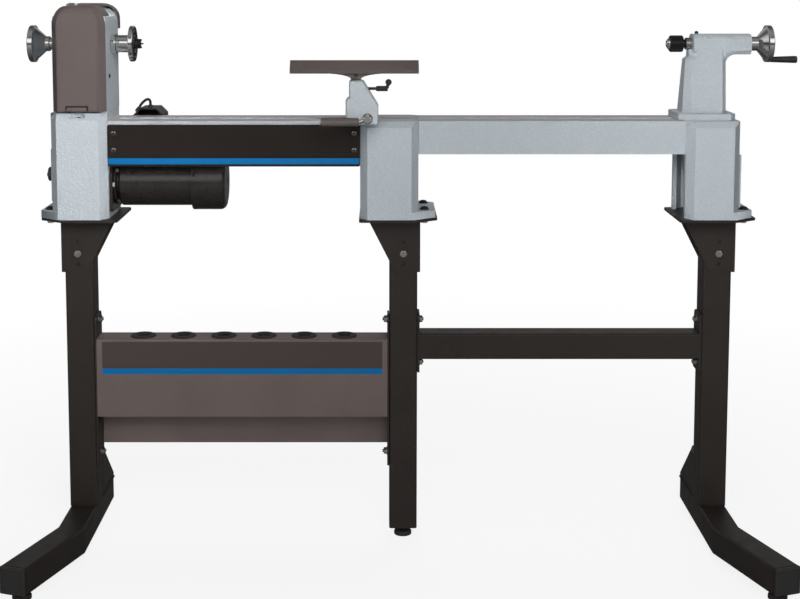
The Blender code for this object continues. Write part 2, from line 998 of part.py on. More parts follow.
# Cross rail between the middle and right posts.
rail_left = middle_post_x + post_half + gap
rail_right = right_post_x - post_half - gap
cross_rail = block((rail_left, -rail_half, rail_low), (rail_right, rail_half, rail_top))
rail_ends = []
for near, far in ((rail_left, rail_left + rail_flange),
                  (rail_right - rail_flange, rail_right)):
    rail_ends.append(plate([rounded([
        (-rail_half, rail_flange_low, 0), (rail_half, rail_flange_low, 0),
        (rail_half, rail_flange_top), (-rail_half, rail_flange_top),
    ], cap_plug)], near, far, "YZ"))
join(cross_rail, *rail_ends)
cut(cross_rail,
    block((rail_left - over, rail_wall - rail_half, rail_low + rail_wall),
          (rail_right + over, rail_half - rail_wall, rail_top - rail_wall)))
rail_bolt = bolt(small_bolt_head, small_bolt_head_high, small_bolt_radius,
                 rail_flange + post_wall + 2 * gap, small_bolt_head, small_bolt_nut_high)
join(cross_rail, *at_places(rail_bolt, [
    facing(axis, (x, 0, z)) for z in rail_bolts_z
    for axis, x in (("+X", rail_left + rail_flange), ("-X", rail_right - rail_flange))]))
finish(cross_rail, "cross_rail", stand_paint)

# Tool shelf between the left and middle posts: a deep folded channel, open below.
shelf_left = left_post_x + post_half + gap
shelf_right = middle_post_x - post_half - gap
tool_shelf = plate([[
    (shelf_front, shelf_front_low), (shelf_front, shelf_top), (shelf_rear, shelf_top),
    (shelf_rear, shelf_rear_low), (shelf_rear - shelf_sheet, shelf_rear_low),
    (shelf_rear - shelf_sheet, shelf_top - shelf_sheet),
    (shelf_front + shelf_sheet, shelf_top - shelf_sheet),
    (shelf_front + shelf_sheet, shelf_front_low),
]], shelf_left, shelf_right, "YZ")
shelf_ends = []
for near, far in ((shelf_left, shelf_left + shelf_end),
                  (shelf_right - shelf_end, shelf_right)):
    shelf_ends.append(plate([rounded([
        (-shelf_end_half, shelf_end_low, 0),
        (shelf_rear - weld, shelf_end_low, 0),
        (shelf_rear - weld, shelf_end_top), (-shelf_end_half, shelf_end_top),
    ], cap_plug)], near, far, "YZ"))
join(tool_shelf, *shelf_ends)
grommets_x = [grommet_first + grommet_pitch * i for i in range(grommet_count)]
cut(tool_shelf, *[rod((x, 0, shelf_top - over), (x, 0, shelf_top + over),
                      grommet_neck - weld, grommet_sides) for x in grommets_x])
grommet = turned([
    (grommet_bore, grommet_flange_high), (grommet_flange, grommet_flange_high),
    (grommet_flange, -weld), (grommet_neck, -weld), (grommet_neck, -grommet_depth),
    (grommet_bore, -grommet_depth),
], (0, 0, 0), "+Z", grommet_sides, ring=True, name="grommet")
shelf_bolt = bolt(small_bolt_head, small_bolt_head_high, small_bolt_radius,
                  shelf_end + post_wall + 2 * gap, small_bolt_head, small_bolt_nut_high)
join(tool_shelf, *at_places(grommet, [Matrix.Translation((x, 0, shelf_top))
                                      for x in grommets_x]))
join(tool_shelf, *at_places(shelf_bolt, [
    facing(axis, (x, 0, z)) for z in shelf_bolts_z
    for axis, x in (("+X", shelf_left + shelf_end), ("-X", shelf_right - shelf_end))]))
finish(tool_shelf, "tool_shelf", shelf_paint)

# Plugs in the four open foot ends.
tube_half = foot_width / 2
tube_rise = (foot_top - foot_low) / 2
end_cap = block((gap, -tube_half, -tube_rise), (cap_flange, tube_half, tube_rise),
                cap_bevel)
plug_half = tube_half - post_wall - gap
plug_rise = tube_rise - post_wall - gap
join(end_cap, block((-cap_plug, -plug_half, -plug_rise),
                    (gap + weld, plug_half, plug_rise)))
cut(end_cap, block((cap_flange - cap_recess, cap_rim - tube_half, cap_rim - tube_rise),
                   (cap_flange + over, tube_half - cap_rim, tube_rise - cap_rim)))
toe_z = (foot_low + foot_top) / 2
toe_shift = math.sin(foot_splay) * foot_toe
toe_y = foot_knee_y + math.cos(foot_splay) * foot_toe
sides = {"left": (left_post_x, -1), "right": (right_post_x, 1)}
ends = {"front": -1, "rear": 1}
cap_places = {}
foot_places = {"middle_leveling_foot": Matrix.Translation((middle_post_x, 0, 0))}
for side, (post_x, outward) in sides.items():
    for end, front in ends.items():
        heading = math.atan2(front * math.cos(foot_splay),
                             outward * math.sin(foot_splay))
        cap_places[f"{side}_{end}_end_cap"] = (
            Matrix.Translation((post_x + outward * toe_shift, front * toe_y, toe_z))
            @ Matrix.Rotation(heading, 4, "Z"))
        foot_places[f"{side}_{end}_leveling_foot"] = Matrix.Translation((
            post_x + outward * math.sin(foot_splay) * stud_reach,
            front * (foot_knee_y + math.cos(foot_splay) * stud_reach), 0))
copies(end_cap, black_plastic, cap_places)

# Levelling feet: pad, stud and jam nut, one body for each foot.
stud_foot = turned([
    (0, stud_top), (stud_radius, stud_top), (stud_radius, foot_low - gap),
    (jam_radius, foot_low - gap), (jam_radius, jam_low), (stud_radius, jam_low),
    (stud_radius, pad_high), (pad_radius - cap_bevel, pad_high),
    (pad_radius, pad_high - cap_bevel), (pad_radius, 0), (0, 0),
], (0, 0, 0), "+Z", 12, name="stud_foot")
copies(stud_foot, rubber, foot_places)

# Bolts that hold the brackets to the posts.
grip_through = 2 * (cheek_half + gap)
post_bolt = bolt(post_bolt_head, post_bolt_head_high, post_bolt_radius, grip_through,
                 post_bolt_head, post_bolt_nut_high, post_bolt_stub)
copies(post_bolt, zinc, {
    f"{name}_post_bolt": facing("+Y", (x, cheek_half + gap, post_bolt_z))
    for name, x in (("left", left_post_x), ("middle", middle_post_x),
                    ("right", right_post_x))})

# ================================================================ bed castings
way_low = bed_top - bed_way
bed_cavity = bed_half - bed_wall
bench_half = pedestal_half - pedestal_wall


def tube_sole(post_x, reach, bolt_offset):
    """Bolted sole on the outer side of a pedestal, at its foot."""
    way = -inner_side[post_x]
    far = post_x + way * reach
    sole = plate([[
        (post_x, -pedestal_half), (post_x + way * bolt_offset / 2, -pedestal_half),
        (far, -sole_corner_y), (far, sole_corner_y),
        (post_x + way * bolt_offset / 2, pedestal_half), (post_x, pedestal_half),
    ]], pedestal_z, pedestal_z + sole_high)
    return sole


def sole_bolts(post_x, bolt_offset):
    """Button-head bolts through the sole and the bracket, nuts below."""
    grip = pedestal_z + sole_high - bracket_low + gap
    fastener = bolt(sole_bolt_head, sole_bolt_head_high, small_bolt_radius, grip,
                    small_bolt_head, sole_bolt_nut_high, sides=8)
    x = post_x - inner_side[post_x] * bolt_offset
    top = pedestal_z + sole_high
    return at_places(fastener, [Matrix.Translation((x, y, top))
                                for y in (-sole_bolt_y, sole_bolt_y)])


# Main bed with the headstock pedestal and the middle pedestal in one casting.
bed_casting = loft([
    eight(head_left, 0, pedestal_half, pedestal_bevel_x, pedestal_bevel_y, pedestal_z),
    eight(head_left, 0, pedestal_half, pedestal_bevel_x, pedestal_bevel_y, head_front_z),
    eight(head_left, 0, head_top_half, pedestal_bevel_x,
          pedestal_bevel_y - (pedestal_half - head_top_half), head_pad_z),
])
middle_pedestal = loft([
    eight(middle_left, middle_right, pedestal_half, pedestal_bevel_x, pedestal_bevel_y,
          pedestal_z),
    eight(middle_left, middle_right, pedestal_half, pedestal_bevel_x, pedestal_bevel_y,
          middle_front_z),
    eight(middle_left, middle_right, middle_top_half, pedestal_bevel_x,
          pedestal_bevel_y - (pedestal_half - middle_top_half), bed_top),
])
bed_beam = block((-pedestal_wall, -bed_half, bed_low), (middle_right, bed_half, bed_top))
join(bed_casting, bed_beam, middle_pedestal,
     tube_sole(left_post_x, left_sole_reach, left_sole_bolt),
     tube_sole(middle_post_x, middle_sole_reach, middle_sole_bolt))
head_cavity = loft([
    eight(head_left + pedestal_wall, -pedestal_wall, bench_half, pedestal_bevel_x,
          pedestal_bevel_y, pedestal_z - over),
    eight(head_left + pedestal_wall, -pedestal_wall, bench_half, pedestal_bevel_x,
          pedestal_bevel_y, head_front_z - pedestal_wall),
    eight(head_left + pedestal_wall, -pedestal_wall, head_cavity_half, pedestal_bevel_x,
          pedestal_bevel_y - (bench_half - head_cavity_half), head_pad_z),
    eight(head_left + pedestal_wall, -pedestal_wall, head_cavity_half, pedestal_bevel_x,
          pedestal_bevel_y - (bench_half - head_cavity_half), head_pad_z + over),
])
middle_cavity = loft([
    eight(middle_left + pedestal_wall, middle_right - pedestal_wall, bench_half,
          pedestal_bevel_x, pedestal_bevel_y, pedestal_z - over),
    eight(middle_left + pedestal_wall, middle_right - pedestal_wall, bench_half,
          pedestal_bevel_x, pedestal_bevel_y, middle_front_z - pedestal_wall),
    eight(middle_left + pedestal_wall, middle_right - pedestal_wall, bed_cavity,
          pedestal_bevel_x / 2, pedestal_bevel_y / 2, way_low),
])
bed_channel = block((0, -bed_cavity, bed_low - over),
                    (middle_left + weld, bed_cavity, way_low))
bed_slot_tool = block((bed_slot_start, -bed_slot, way_low - over),
                      (middle_right + over, bed_slot, bed_top + over))
clamp_channel = block((middle_left - over, -channel_half, channel_low),
                      (middle_right + over, channel_half, way_low))
motor_port = block((-pedestal_wall - over, -wall_port_half, wall_port_low),
                   (over, wall_port_half, wall_port_top))
door_port = block((head_left - over, -door_port_half, door_port_low),
                  (head_left + pedestal_wall + over, door_port_half, door_port_top))
finger_recess = rod((finger_x, finger_y, head_pad_z - finger_deep),
                    (finger_x, finger_y, head_pad_z + over), finger_radius, 20)
cut(bed_casting, head_cavity, middle_cavity, bed_channel, bed_slot_tool, clamp_channel,
    motor_port, door_port, finger_recess)
cut(bed_casting, *[rod((x, -bed_half - over, z), (x, -bed_cavity + over, z),
                       panel_screw_hole, 10)
                   for x in panel_screws_x for z in panel_screws_z])
cut(bed_casting, *[rod((middle_right - pedestal_wall - over, y, join_bolt_z),
                       (middle_right + over, y, join_bolt_z), small_bolt_hole, 12)
                   for y in (-join_bolt_y, join_bolt_y)])
join(bed_casting, *[rod((-pedestal_wall / 2, y, motor_z),
                        (plate_thick + 3 * gap + pivot_head_high, y, motor_z),
                        pivot_radius, 12) for y in (-pivot_y, pivot_y)])
join(bed_casting, *[rod((plate_thick + 3 * gap, y, motor_z),
                        (plate_thick + 3 * gap + pivot_head_high, y, motor_z),
                        pivot_head, 12) for y in (-pivot_y, pivot_y)])
lug_faces = ((door_lugs_z[0] - door_lug_high, door_lugs_z[0]),
             (door_lugs_z[1], door_lugs_z[1] + door_lug_high))
join(bed_casting, *[block((door_axis_x - lug_cheek, door_axis_y - lug_cheek, low),
                          (head_left + weld, door_axis_y + door_hinge_radius, high))
                    for low, high in lug_faces],
     rod((door_axis_x, door_axis_y, door_lugs_z[0] - door_lug_high / 2),
         (door_axis_x, door_axis_y, door_lugs_z[1] + door_lug_high / 2), pin_radius, 10))
join(bed_casting, *sole_bolts(left_post_x, left_sole_bolt),
     *sole_bolts(middle_post_x, middle_sole_bolt))
finish(bed_casting, "bed_casting", hammertone)

# Bed extension with its own pedestal, bolted to the end of the main bed.
bed_extension = block((extension_left, -bed_half, extension_low),
                      (right_left + pedestal_wall - weld, bed_half, bed_top))
extension_channel = block((extension_left + extension_web, -bed_cavity,
                           extension_low - over),
                          (right_left + pedestal_wall + over, bed_cavity, way_low))
cut(bed_extension, extension_channel)
right_pedestal = loft([
    eight(right_left, extension_right, pedestal_half, pedestal_bevel_x,
          pedestal_bevel_y, pedestal_z),
    eight(right_left, extension_right, pedestal_half, pedestal_bevel_x,
          pedestal_bevel_y, middle_front_z),
    eight(right_left, extension_right, middle_top_half, pedestal_bevel_x,
          pedestal_bevel_y - (pedestal_half - middle_top_half), bed_top),
])
right_cavity = loft([
    eight(right_left + pedestal_wall, extension_right - pedestal_wall, bench_half,
          pedestal_bevel_x, pedestal_bevel_y, pedestal_z - over),
    eight(right_left + pedestal_wall, extension_right - pedestal_wall, bench_half,
          pedestal_bevel_x, pedestal_bevel_y, middle_front_z - pedestal_wall),
    eight(right_left + pedestal_wall, extension_right - pedestal_wall, bed_cavity,
          pedestal_bevel_x / 2, pedestal_bevel_y / 2, way_low),
])
right_port = block((right_left - over, -bed_cavity, pedestal_z - over),
                   (right_left + pedestal_wall + over, bed_cavity, way_low))
right_pad = block((extension_right - weld, -right_pad_half, right_pad_low),
                  (extension_right + right_pad_out, right_pad_half, right_pad_top))
fillet_at = (right_left - beam_fillet, extension_low - beam_fillet)
fillet = [(right_left + weld, extension_low - beam_fillet),
          (right_left + weld, extension_low + weld),
          (right_left - beam_fillet, extension_low + weld)]
fillet += arc(fillet_at, beam_fillet, 90, 0, 4)
fillets = [plate([fillet], near, near + bed_half - bed_cavity - 2 * gap, "XZ")
           for near in (-bed_half + gap, bed_cavity + gap)]
cut(right_pedestal, right_cavity, right_port)
join(bed_extension, right_pedestal, right_pad, *fillets,
     tube_sole(right_post_x, right_sole_reach, right_sole_bolt))
extension_slot = block((extension_left - over, -bed_slot, way_low - over),
                       (extension_right - right_web, bed_slot, bed_top + over))
extension_door = block((extension_left - over, -channel_half, channel_low),
                       (extension_left + extension_web + over, channel_half, way_low))
cut(bed_extension, extension_slot, extension_door)
join_bolt = bolt(small_bolt_head, small_bolt_head_high, small_bolt_radius,
                 extension_web + pedestal_wall + weld, small_bolt_head,
                 small_bolt_nut_high)
join(bed_extension, *at_places(join_bolt, [
    facing("+X", (extension_left + extension_web, y, join_bolt_z))
    for y in (-join_bolt_y, join_bolt_y)]), *sole_bolts(right_post_x, right_sole_bolt))
finish(bed_extension, "bed_extension", hammertone)

# Name panel on the front of the bed, held by four screws.
bed_panel = plate([rounded([
    (panel_left, panel_low), (panel_right, panel_low), (panel_right, panel_top),
    (panel_left, panel_top),
], panel_bevel)], panel_front, panel_back, "XZ")
soften(bed_panel, panel_bevel - weld, 1, 60)
panel_screw = bolt(panel_screw_head, panel_bevel - weld, panel_screw_radius,
                   panel_back - panel_front + bed_wall, sides=12)
join(bed_panel, *at_places(panel_screw, [facing("-Y", (x, panel_front, z))
                                         for x in panel_screws_x
                                         for z in panel_screws_z]))
finish(bed_panel, "bed_panel", panel_paint)

# ================================================================ headstock
head_low = head_pad_z + gap


def head_outline(grow, low):
    """Side profile of the headstock casting, front to rear."""
    return ([(head_front + grow, low), (head_rear - grow, low)]
            + arc((head_rear - head_round, head_crown - head_round), head_round - grow,
                  0, 90, 6)
            + [(head_lip - grow, head_crown - grow), (head_lip - grow, head_ledge - grow),
               (head_front + grow, head_ledge - grow)])


def arch_outline(left, right, low, top, radius, steps):
    """Upright outline with two round top corners."""
    return ([(left, low), (right, low)]
            + arc((right - radius, top - radius), radius, 0, 90, steps)
            + arc((left + radius, top - radius), radius, 90, 180, steps))


headstock = plate([head_outline(0, head_low)], casting_left, 0, "YZ")
cut(headstock,
    block((casting_left + head_left_wall, head_front - over, head_low + head_base),
          (-head_right_wall, head_rear - head_rear_wall, head_crown - head_roof)),
    block((casting_left + head_left_wall, -belt_port_half, head_low - over),
          (-head_right_wall, belt_port_half, head_low + head_base + over)))
keep(headstock, plate([arch_outline(casting_left, 0, head_low - over, head_crown,
                                    head_shoulder, 5)],
                      head_front - over, head_rear + over, "XZ"))
cut(headstock,
    rod((-head_right_wall - over, 0, spindle_z), (over, 0, spindle_z),
        bearing_radius + gap, 24),
    rod((casting_left - over, 0, spindle_z), (casting_left + head_left_wall + over, 0,
                                           spindle_z), bearing_radius + gap, 24),
    rod((-head_right_wall / 2, head_front - over, head_screw_z),
        (-head_right_wall / 2, head_front + over, head_screw_z), panel_screw_hole, 8))
hinge_ears = [block((low, hinge_y - hinge_radius, head_crown - ear_root),
                    (high, hinge_y + hinge_radius, hinge_z + hinge_radius - weld))
              for low, high in ((lug_left - ear_wide, lug_left - gap),
                                (lug_right + gap, lug_right + ear_wide))]
join(headstock, *hinge_ears,
     rod((lug_left - ear_wide / 2, hinge_y, hinge_z),
         (lug_right + ear_wide / 2, hinge_y, hinge_z), pin_radius, 10))
finish(headstock, "headstock", hammertone)

# Spindle bearings: one ring in each wall.
for name, near, far in (("inboard_bearing", -head_right_wall, -bearing_inset),
                        ("outboard_bearing", casting_left + bearing_inset,
                         casting_left + head_left_wall)):
    ring = turned([
        (spindle_radius + gap, far), (bearing_radius, far), (bearing_radius, near),
        (spindle_radius + gap, near),
    ], (0, 0, spindle_z), "+X", 24, ring=True)
    finish(ring, name, steel)

# Rear cover: a shell over the rear top edge of the casting.
rear_low = rear_cover_low
cover_arc = arc((rear_cover_y - rear_cover_round, rear_cover_top - rear_cover_round),
                rear_cover_round, 0, 90, 6)
rear_cover = plate([
    [(head_rear + gap, rear_low), (rear_cover_y, rear_low)] + cover_arc
    + [(rear_cover_front, rear_cover_top), (rear_cover_front, head_crown + gap)]
    + arc((head_rear - head_round, head_crown - head_round), head_round + gap, 90, 0, 6)
], rear_cover_left, rear_cover_right, "YZ")
inner_arc = arc((rear_cover_y - rear_cover_round, rear_cover_top - rear_cover_round),
                rear_cover_round - shell, 0, 90, 6)
rear_pocket = plate([
    [(head_rear - shell, rear_low + shell), (rear_cover_y - shell, rear_low + shell)]
    + inner_arc + [(rear_pocket_front, rear_cover_top - shell)]
    + arc((head_rear - head_round, head_crown - head_round), head_round - shell,
          90, 0, 6)
], rear_cover_left + shell, rear_cover_right - shell, "YZ")
keep(rear_pocket, plate([arch_outline(
    rear_cover_left + shell, rear_cover_right - shell, rear_low - over,
    rear_cover_top - shell, head_shoulder - shell, 5)], -over, rear_cover_y + over, "XZ"))
cut(rear_cover, rear_pocket)
keep(rear_cover, plate([arch_outline(rear_cover_left, rear_cover_right, rear_low - over,
                                     rear_cover_top, head_shoulder, 5)],
                       -over, rear_cover_y + over, "XZ"))
finish(rear_cover, "rear_cover", cover_plastic)


def cover_ring(inset, z, back, thin):
    """Plan outline of the belt cover at one height, inset as its top rounds over."""
    left = casting_left + inset + thin
    right = -inset - thin
    front = cover_front + thin + inset * cover_front_share
    bevel_x = cover_bevel
    bevel_y = pedestal_bevel_y - inset * cover_front_share
    return [
        (left + bevel_x, front, z), (right - bevel_x, front, z),
        (right, front + bevel_y, z), (right, back, z), (left, back, z),
        (left, front + bevel_y, z),
    ]


def cover_body(thin, low, back):
    """Belt cover shape: straight sides that round over at the top."""
    radius, drop = cover_round - thin, cover_drop - thin
    rings = [cover_ring(0, low, back, thin)]
    for step in range(cover_steps + 1):
        angle = quarter_turn * step / cover_steps
        if step == cover_steps:
            angle = quarter_turn * (step - cover_flat) / cover_steps
        inset = radius * (1 - math.cos(angle))
        rings.append(cover_ring(inset, cover_top - cover_drop + drop * math.sin(angle),
                                back, thin))
    return loft(rings)


# Hinged belt cover on the front and top of the headstock.
belt_cover = cover_body(0, cover_low, cover_back)
cut(belt_cover,
    block((casting_left - over, head_front - gap, cover_low - over),
          (over, over, head_ledge + gap)))
cover_inside = cover_body(shell, cover_low + shell, cover_back + over)
cut(belt_cover, cover_inside)
finger_tab = block((tab_left, cover_front - tab_out, cover_low),
                   (tab_right, cover_front + weld, cover_low + tab_high), weld, 1)
hinge_lug = block((lug_left, cover_back - lug_deep, head_crown + 2 * gap),
                  (lug_right, hinge_y, hinge_z))
hinge_barrel = rod((lug_left, hinge_y, hinge_z), (lug_right, hinge_y, hinge_z),
                   hinge_radius, 12)
join(belt_cover, finger_tab, hinge_lug, hinge_barrel)
cut(belt_cover, rod((lug_left - over, hinge_y, hinge_z), (lug_right + over, hinge_y,
                                                          hinge_z), pin_radius + gap, 10))
finish(belt_cover, "belt_cover", cover_plastic, (0, hinge_y, hinge_z))

# ================================================================ spindle and drive
spindle_at = (0, 0, spindle_z)
motor_at = (0, 0, motor_z)
spindle = turned([
    (0, nose_end - arbor_deep), (arbor_radius + gap, nose_end - arbor_deep),
    (arbor_radius + gap, nose_end), (nose_radius, nose_end), (nose_radius, collar_end),
    (collar_radius, collar_end), (collar_radius, collar_start),
    (spindle_radius, collar_start), (spindle_radius, wheel_hub_x + gap),
    (tail_radius, wheel_hub_x + gap), (tail_radius, tail_end), (0, tail_end),
], spindle_at, "+X", 24)
finish(spindle, "spindle", chrome, spindle_at)

faceplate = turned([
    (nose_radius + gap, disc_end), (disc_radius - disc_edge, disc_end),
    (disc_radius, disc_end - disc_edge), (disc_radius, disc_start + disc_edge),
    (disc_radius - disc_edge, disc_start), (hub_neck, disc_start), (hub_neck, hub_end),
    (hub_radius, hub_end), (hub_radius, collar_end + gap),
    (nose_radius + gap, collar_end + gap),
], spindle_at, "+X", 24, ring=True)
finish(faceplate, "faceplate", chrome, spindle_at)

spur_center = turned([
    (0, spur_point_x), (spur_pin, spur_point_x - spur_taper), (spur_pin, spur_face_x),
    (spur_head, spur_face_x), (spur_head, nose_end + weld), (arbor_radius,
                                                             nose_end + weld),
    (arbor_radius, nose_end - arbor_deep + gap), (0, nose_end - arbor_deep + gap),
], spindle_at, "+X", 16)
prong = spur_head - weld / 2
join(spur_center,
     block((spur_face_x - weld, -prong, spindle_z - prong_half),
           (prong_end_x, prong, spindle_z + prong_half)),
     block((spur_face_x - weld, -prong_half, spindle_z - prong),
           (prong_end_x, prong_half, spindle_z + prong)))
finish(spur_center, "spur_center", black_steel, spindle_at)

outboard_handwheel = turned([
    (tail_radius + gap, wheel_hub_x), (wheel_hub, wheel_hub_x),
    (wheel_hub, wheel_hub_x - wheel_hub_long), (wheel_cone, wheel_rim_x),
    (wheel_radius, wheel_rim_x - wheel_edge), (wheel_radius, wheel_face_x + wheel_edge),
    (wheel_radius - wheel_edge, wheel_face_x), (wheel_cone, wheel_face_x),
    (wheel_dish, wheel_face_x + wheel_dish_deep),
    (wheel_boss, wheel_face_x + wheel_boss_deep),
    (tail_radius + gap, wheel_face_x + wheel_boss_deep),
], spindle_at, "+X", 24, ring=True)
finish(outboard_handwheel, "outboard_handwheel", chrome, spindle_at)


def step_pulley(steps, bore):
    """Three-step pulley, its widths equal, from the right-hand end."""
    profile = []
    station = pulley_right
    for radius in steps:
        profile += [(radius, station), (radius, station - pulley_step)]
        station -= pulley_step
    if bore:
        profile = [(bore, pulley_right)] + profile + [(bore, station)]
    return profile, station


ring_profile, pulley_left = step_pulley(pulley_steps, spindle_radius + gap)
index_rim = [(spindle_radius + gap, pulley_right + index_wide),
             (index_radius, pulley_right + index_wide), (index_radius, pulley_right)]
spindle_pulley = turned(index_rim + ring_profile[1:], spindle_at, "+X", 20, ring=True)
finish(spindle_pulley, "spindle_pulley", alloy, spindle_at)

solid_profile, pulley_left = step_pulley(pulley_steps[::-1], 0)
motor_pulley = turned(
    [(0, rotor_end), (rotor_radius, rotor_end), (rotor_radius, pulley_right)]
    + solid_profile + [(rotor_radius, pulley_left), (rotor_radius, rotor_start),
                       (0, rotor_start)], motor_at, "+X", 20)
finish(motor_pulley, "motor_pulley", alloy, motor_at)

belt_x = pulley_right - pulley_step * 1.5
belt_inner = pulley_steps[1] + gap


def belt_loop(radius):
    return (arc((0, spindle_z), radius, 0, 180, 14)
            + arc((0, motor_z), radius, 180, 360, 14))


drive_belt = plate([belt_loop(belt_inner + belt_thick), belt_loop(belt_inner)],
                   belt_x - belt_wide / 2, belt_x + belt_wide / 2, "YZ")
finish(drive_belt, "drive_belt", rubber)

# Motor on its swing plate.
plate_near = gap
plate_far = gap + plate_thick
motor_plate = plate([rounded([
    (-plate_half, plate_low), (plate_half, plate_low), (plate_half, plate_top),
    (plate_bevel - plate_half, plate_top), (-plate_half, plate_top - plate_bevel),
], plate_corner)], plate_near, plate_far, "YZ")
cut(motor_plate,
    rod((-over, 0, motor_z), (over, 0, motor_z), plate_port, 20),
    rod((-over, pivot_y, motor_z), (over, pivot_y, motor_z), pivot_hole, 12),
    rod((-over, -pivot_y, motor_z), (over, -pivot_y, motor_z), slot_half, 12),
    rod((-over, -pivot_y, motor_z - slot_long), (over, -pivot_y, motor_z - slot_long),
        slot_half, 12),
    block((-over, -pivot_y - slot_half, motor_z - slot_long),
          (over, -pivot_y + slot_half, motor_z)))
finish(motor_plate, "motor_plate", black_paint, (0, pivot_y, motor_z))

flange_x = plate_far + gap
motor_housing = turned([
    (0, body_end + body_spigot), (body_radius, body_end + body_spigot),
    (body_radius, body_start + body_edge), (body_radius - body_edge, body_start),
    (neck_radius, body_start), (neck_radius, flange_x + flange_thick),
    (flange_radius, flange_x + flange_thick), (flange_radius, flange_x),
    (rotor_radius + gap, flange_x), (rotor_radius + gap, rotor_end + gap),
    (0, rotor_end + gap),
], motor_at, "+X", 24)
finish(motor_housing, "motor_housing", black_paint, (0, pivot_y, motor_z))

cap_face = [(fan_disc + (fan_radius - fan_disc) * math.sin(math.radians(angle)),
             fan_end - fan_round + fan_round * math.cos(math.radians(angle)))
            for angle in range(0, 91, 18)]
motor_end_cap = turned([(0, fan_end)] + cap_face + [
    (fan_radius, body_end), (body_radius + gap, body_end),
    (body_radius + gap, body_end + fan_lip), (fan_radius - shell, body_end + fan_lip),
    (fan_radius - shell, fan_end - fan_round), (fan_disc, fan_end - shell),
    (0, fan_end - shell),
], motor_at, "+X", 24)
finish(motor_end_cap, "motor_end_cap", black_paint, (0, pivot_y, motor_z))

# Side door of the headstock pedestal, with a quarter-turn knob.
door_face = head_left - gap
side_door = block((door_face - door_thick, -door_half, door_low),
                  (door_face, door_half, door_top))
join(side_door,
     block((door_face - door_thick, door_half - weld, door_lugs_z[0] + gap),
           (door_face - gap, door_axis_y, door_lugs_z[1] - gap)),
     rod((door_axis_x, door_axis_y, door_lugs_z[0] + gap),
         (door_axis_x, door_axis_y, door_lugs_z[1] - gap), door_hinge_radius, 12))
cut(side_door,
    rod((door_axis_x, door_axis_y, door_low - over),
        (door_axis_x, door_axis_y, door_top + over), pin_radius + gap, 10),
    rod((door_face - door_thick - over, door_knob_y, door_knob_z),
        (door_face + over, door_knob_y, door_knob_z), small_bolt_hole, 12))
finish(side_door, "side_door", hammertone, (door_axis_x, door_axis_y, door_low))

knob_face = door_face - door_thick - gap
door_knob = turned([
    (0, tongue_x - weld), (small_bolt_radius, tongue_x - weld),
    (small_bolt_radius, knob_face),
    (door_knob_radius, knob_face), (door_knob_radius, knob_face - door_knob_high + weld),
    (door_knob_radius - weld, knob_face - door_knob_high),
    (0, knob_face - door_knob_high),
], (0, door_knob_y, door_knob_z), "+X", 20)
join(door_knob, block((tongue_x - tongue_thick, door_knob_y - tongue_half,
                       door_knob_z - tongue_half),
                      (tongue_x, door_knob_y + tongue_half,
                       door_knob_z + tongue_long)))
finish(door_knob, "door_knob", black_plastic, (head_left, door_knob_y, door_knob_z))

# Control box behind the bed, open towards the bed, with its two cable glands.
box_front = bed_half + gap
control_box = plate([[
    (box_left, box_low), (box_right, box_low),
    (box_right, box_top - (box_right - box_flat_right)), (box_flat_right, box_top),
    (box_flat_left, box_top), (box_left, box_top - (box_flat_left - box_left)),
]], box_front, box_rear, "XZ")
box_inside = plate([[
    (box_left + shell, box_low + shell), (box_right - shell, box_low + shell),
    (box_right - shell, box_top - (box_right - box_flat_right) - weld),
    (box_flat_right - weld, box_top - shell), (box_flat_left + weld, box_top - shell),
    (box_left + shell, box_top - (box_flat_left - box_left) - weld),
]], box_front - over, box_rear - shell, "XZ")
cut(control_box, box_inside,
    rod((knob_x, box_rear - over, knob_z), (knob_x, box_rear + over, knob_z),
        knob_stem + gap, 12),
    block((switch_x - switch_half_x, box_rear - over, switch_z - switch_half_z),
          (switch_x + switch_half_x, box_rear + over, switch_z + switch_half_z)))
join(control_box,
     rod((gland_left_x - gland_lean, cable_y, gland_left_z - gland_deep),
         (gland_left_x, cable_y, gland_left_z), gland_radius, 12, gland_tip),
     rod((gland_right_x, cable_y, box_top - shell), (gland_right_x, cable_y,
                                                     gland_right_z),
         gland_radius, 12, gland_tip))
finish(control_box, "control_box", black_plastic)

speed_knob = turned([
    (0, knob_high), (knob_radius - weld, knob_high), (knob_radius, knob_high - weld),
    (knob_radius, gap), (knob_stem, gap), (knob_stem, -shell - knob_stem),
    (0, -shell - knob_stem),
], (knob_x, box_rear, knob_z), "+Y", 20)
join(speed_knob, block((knob_x - pointer_half, box_rear + knob_high / 2, knob_z),
                       (knob_x + pointer_half, box_rear + knob_high + pointer_half,
                        knob_z + knob_radius - weld)))
finish(speed_knob, "speed_knob", black_plastic, (knob_x, box_rear, knob_z))

power_switch = rod((switch_x - switch_half_x + gap, box_rear, switch_z),
                   (switch_x + switch_half_x - gap, box_rear, switch_z),
                   switch_half_z - 2 * gap, 20)
finish(power_switch, "power_switch", black_plastic, (switch_x, box_rear, switch_z))

# Cable held between the two glands: a smooth curve through its route.
cable_route = [
    (gland_left_x + cable_start / 2, gland_left_z + cable_start),
    *[(gland_left_x + along, gland_left_z + rise) for along, rise in cable_loop],
    (gland_right_x, gland_right_z + cable_drop),
    (gland_right_x, gland_right_z + 2 * gap),
]


def smooth(points, per_span):
    """Catmull-Rom curve through the given points."""
    ends = [points[0]] + list(points) + [points[-1]]
    result = []
    for a, b, c, d in zip(ends, ends[1:], ends[2:], ends[3:]):
        for step in range(per_span):
            t = step / per_span
            result.append(tuple(
                0.5 * (2 * q + (r - p) * t + (2 * p - 5 * q + 4 * r - s) * t ** 2
                       + (3 * q - p - 3 * r + s) * t ** 3)
                for p, q, r, s in zip(a, b, c, d)))
    result.append(tuple(points[-1]))
    return result


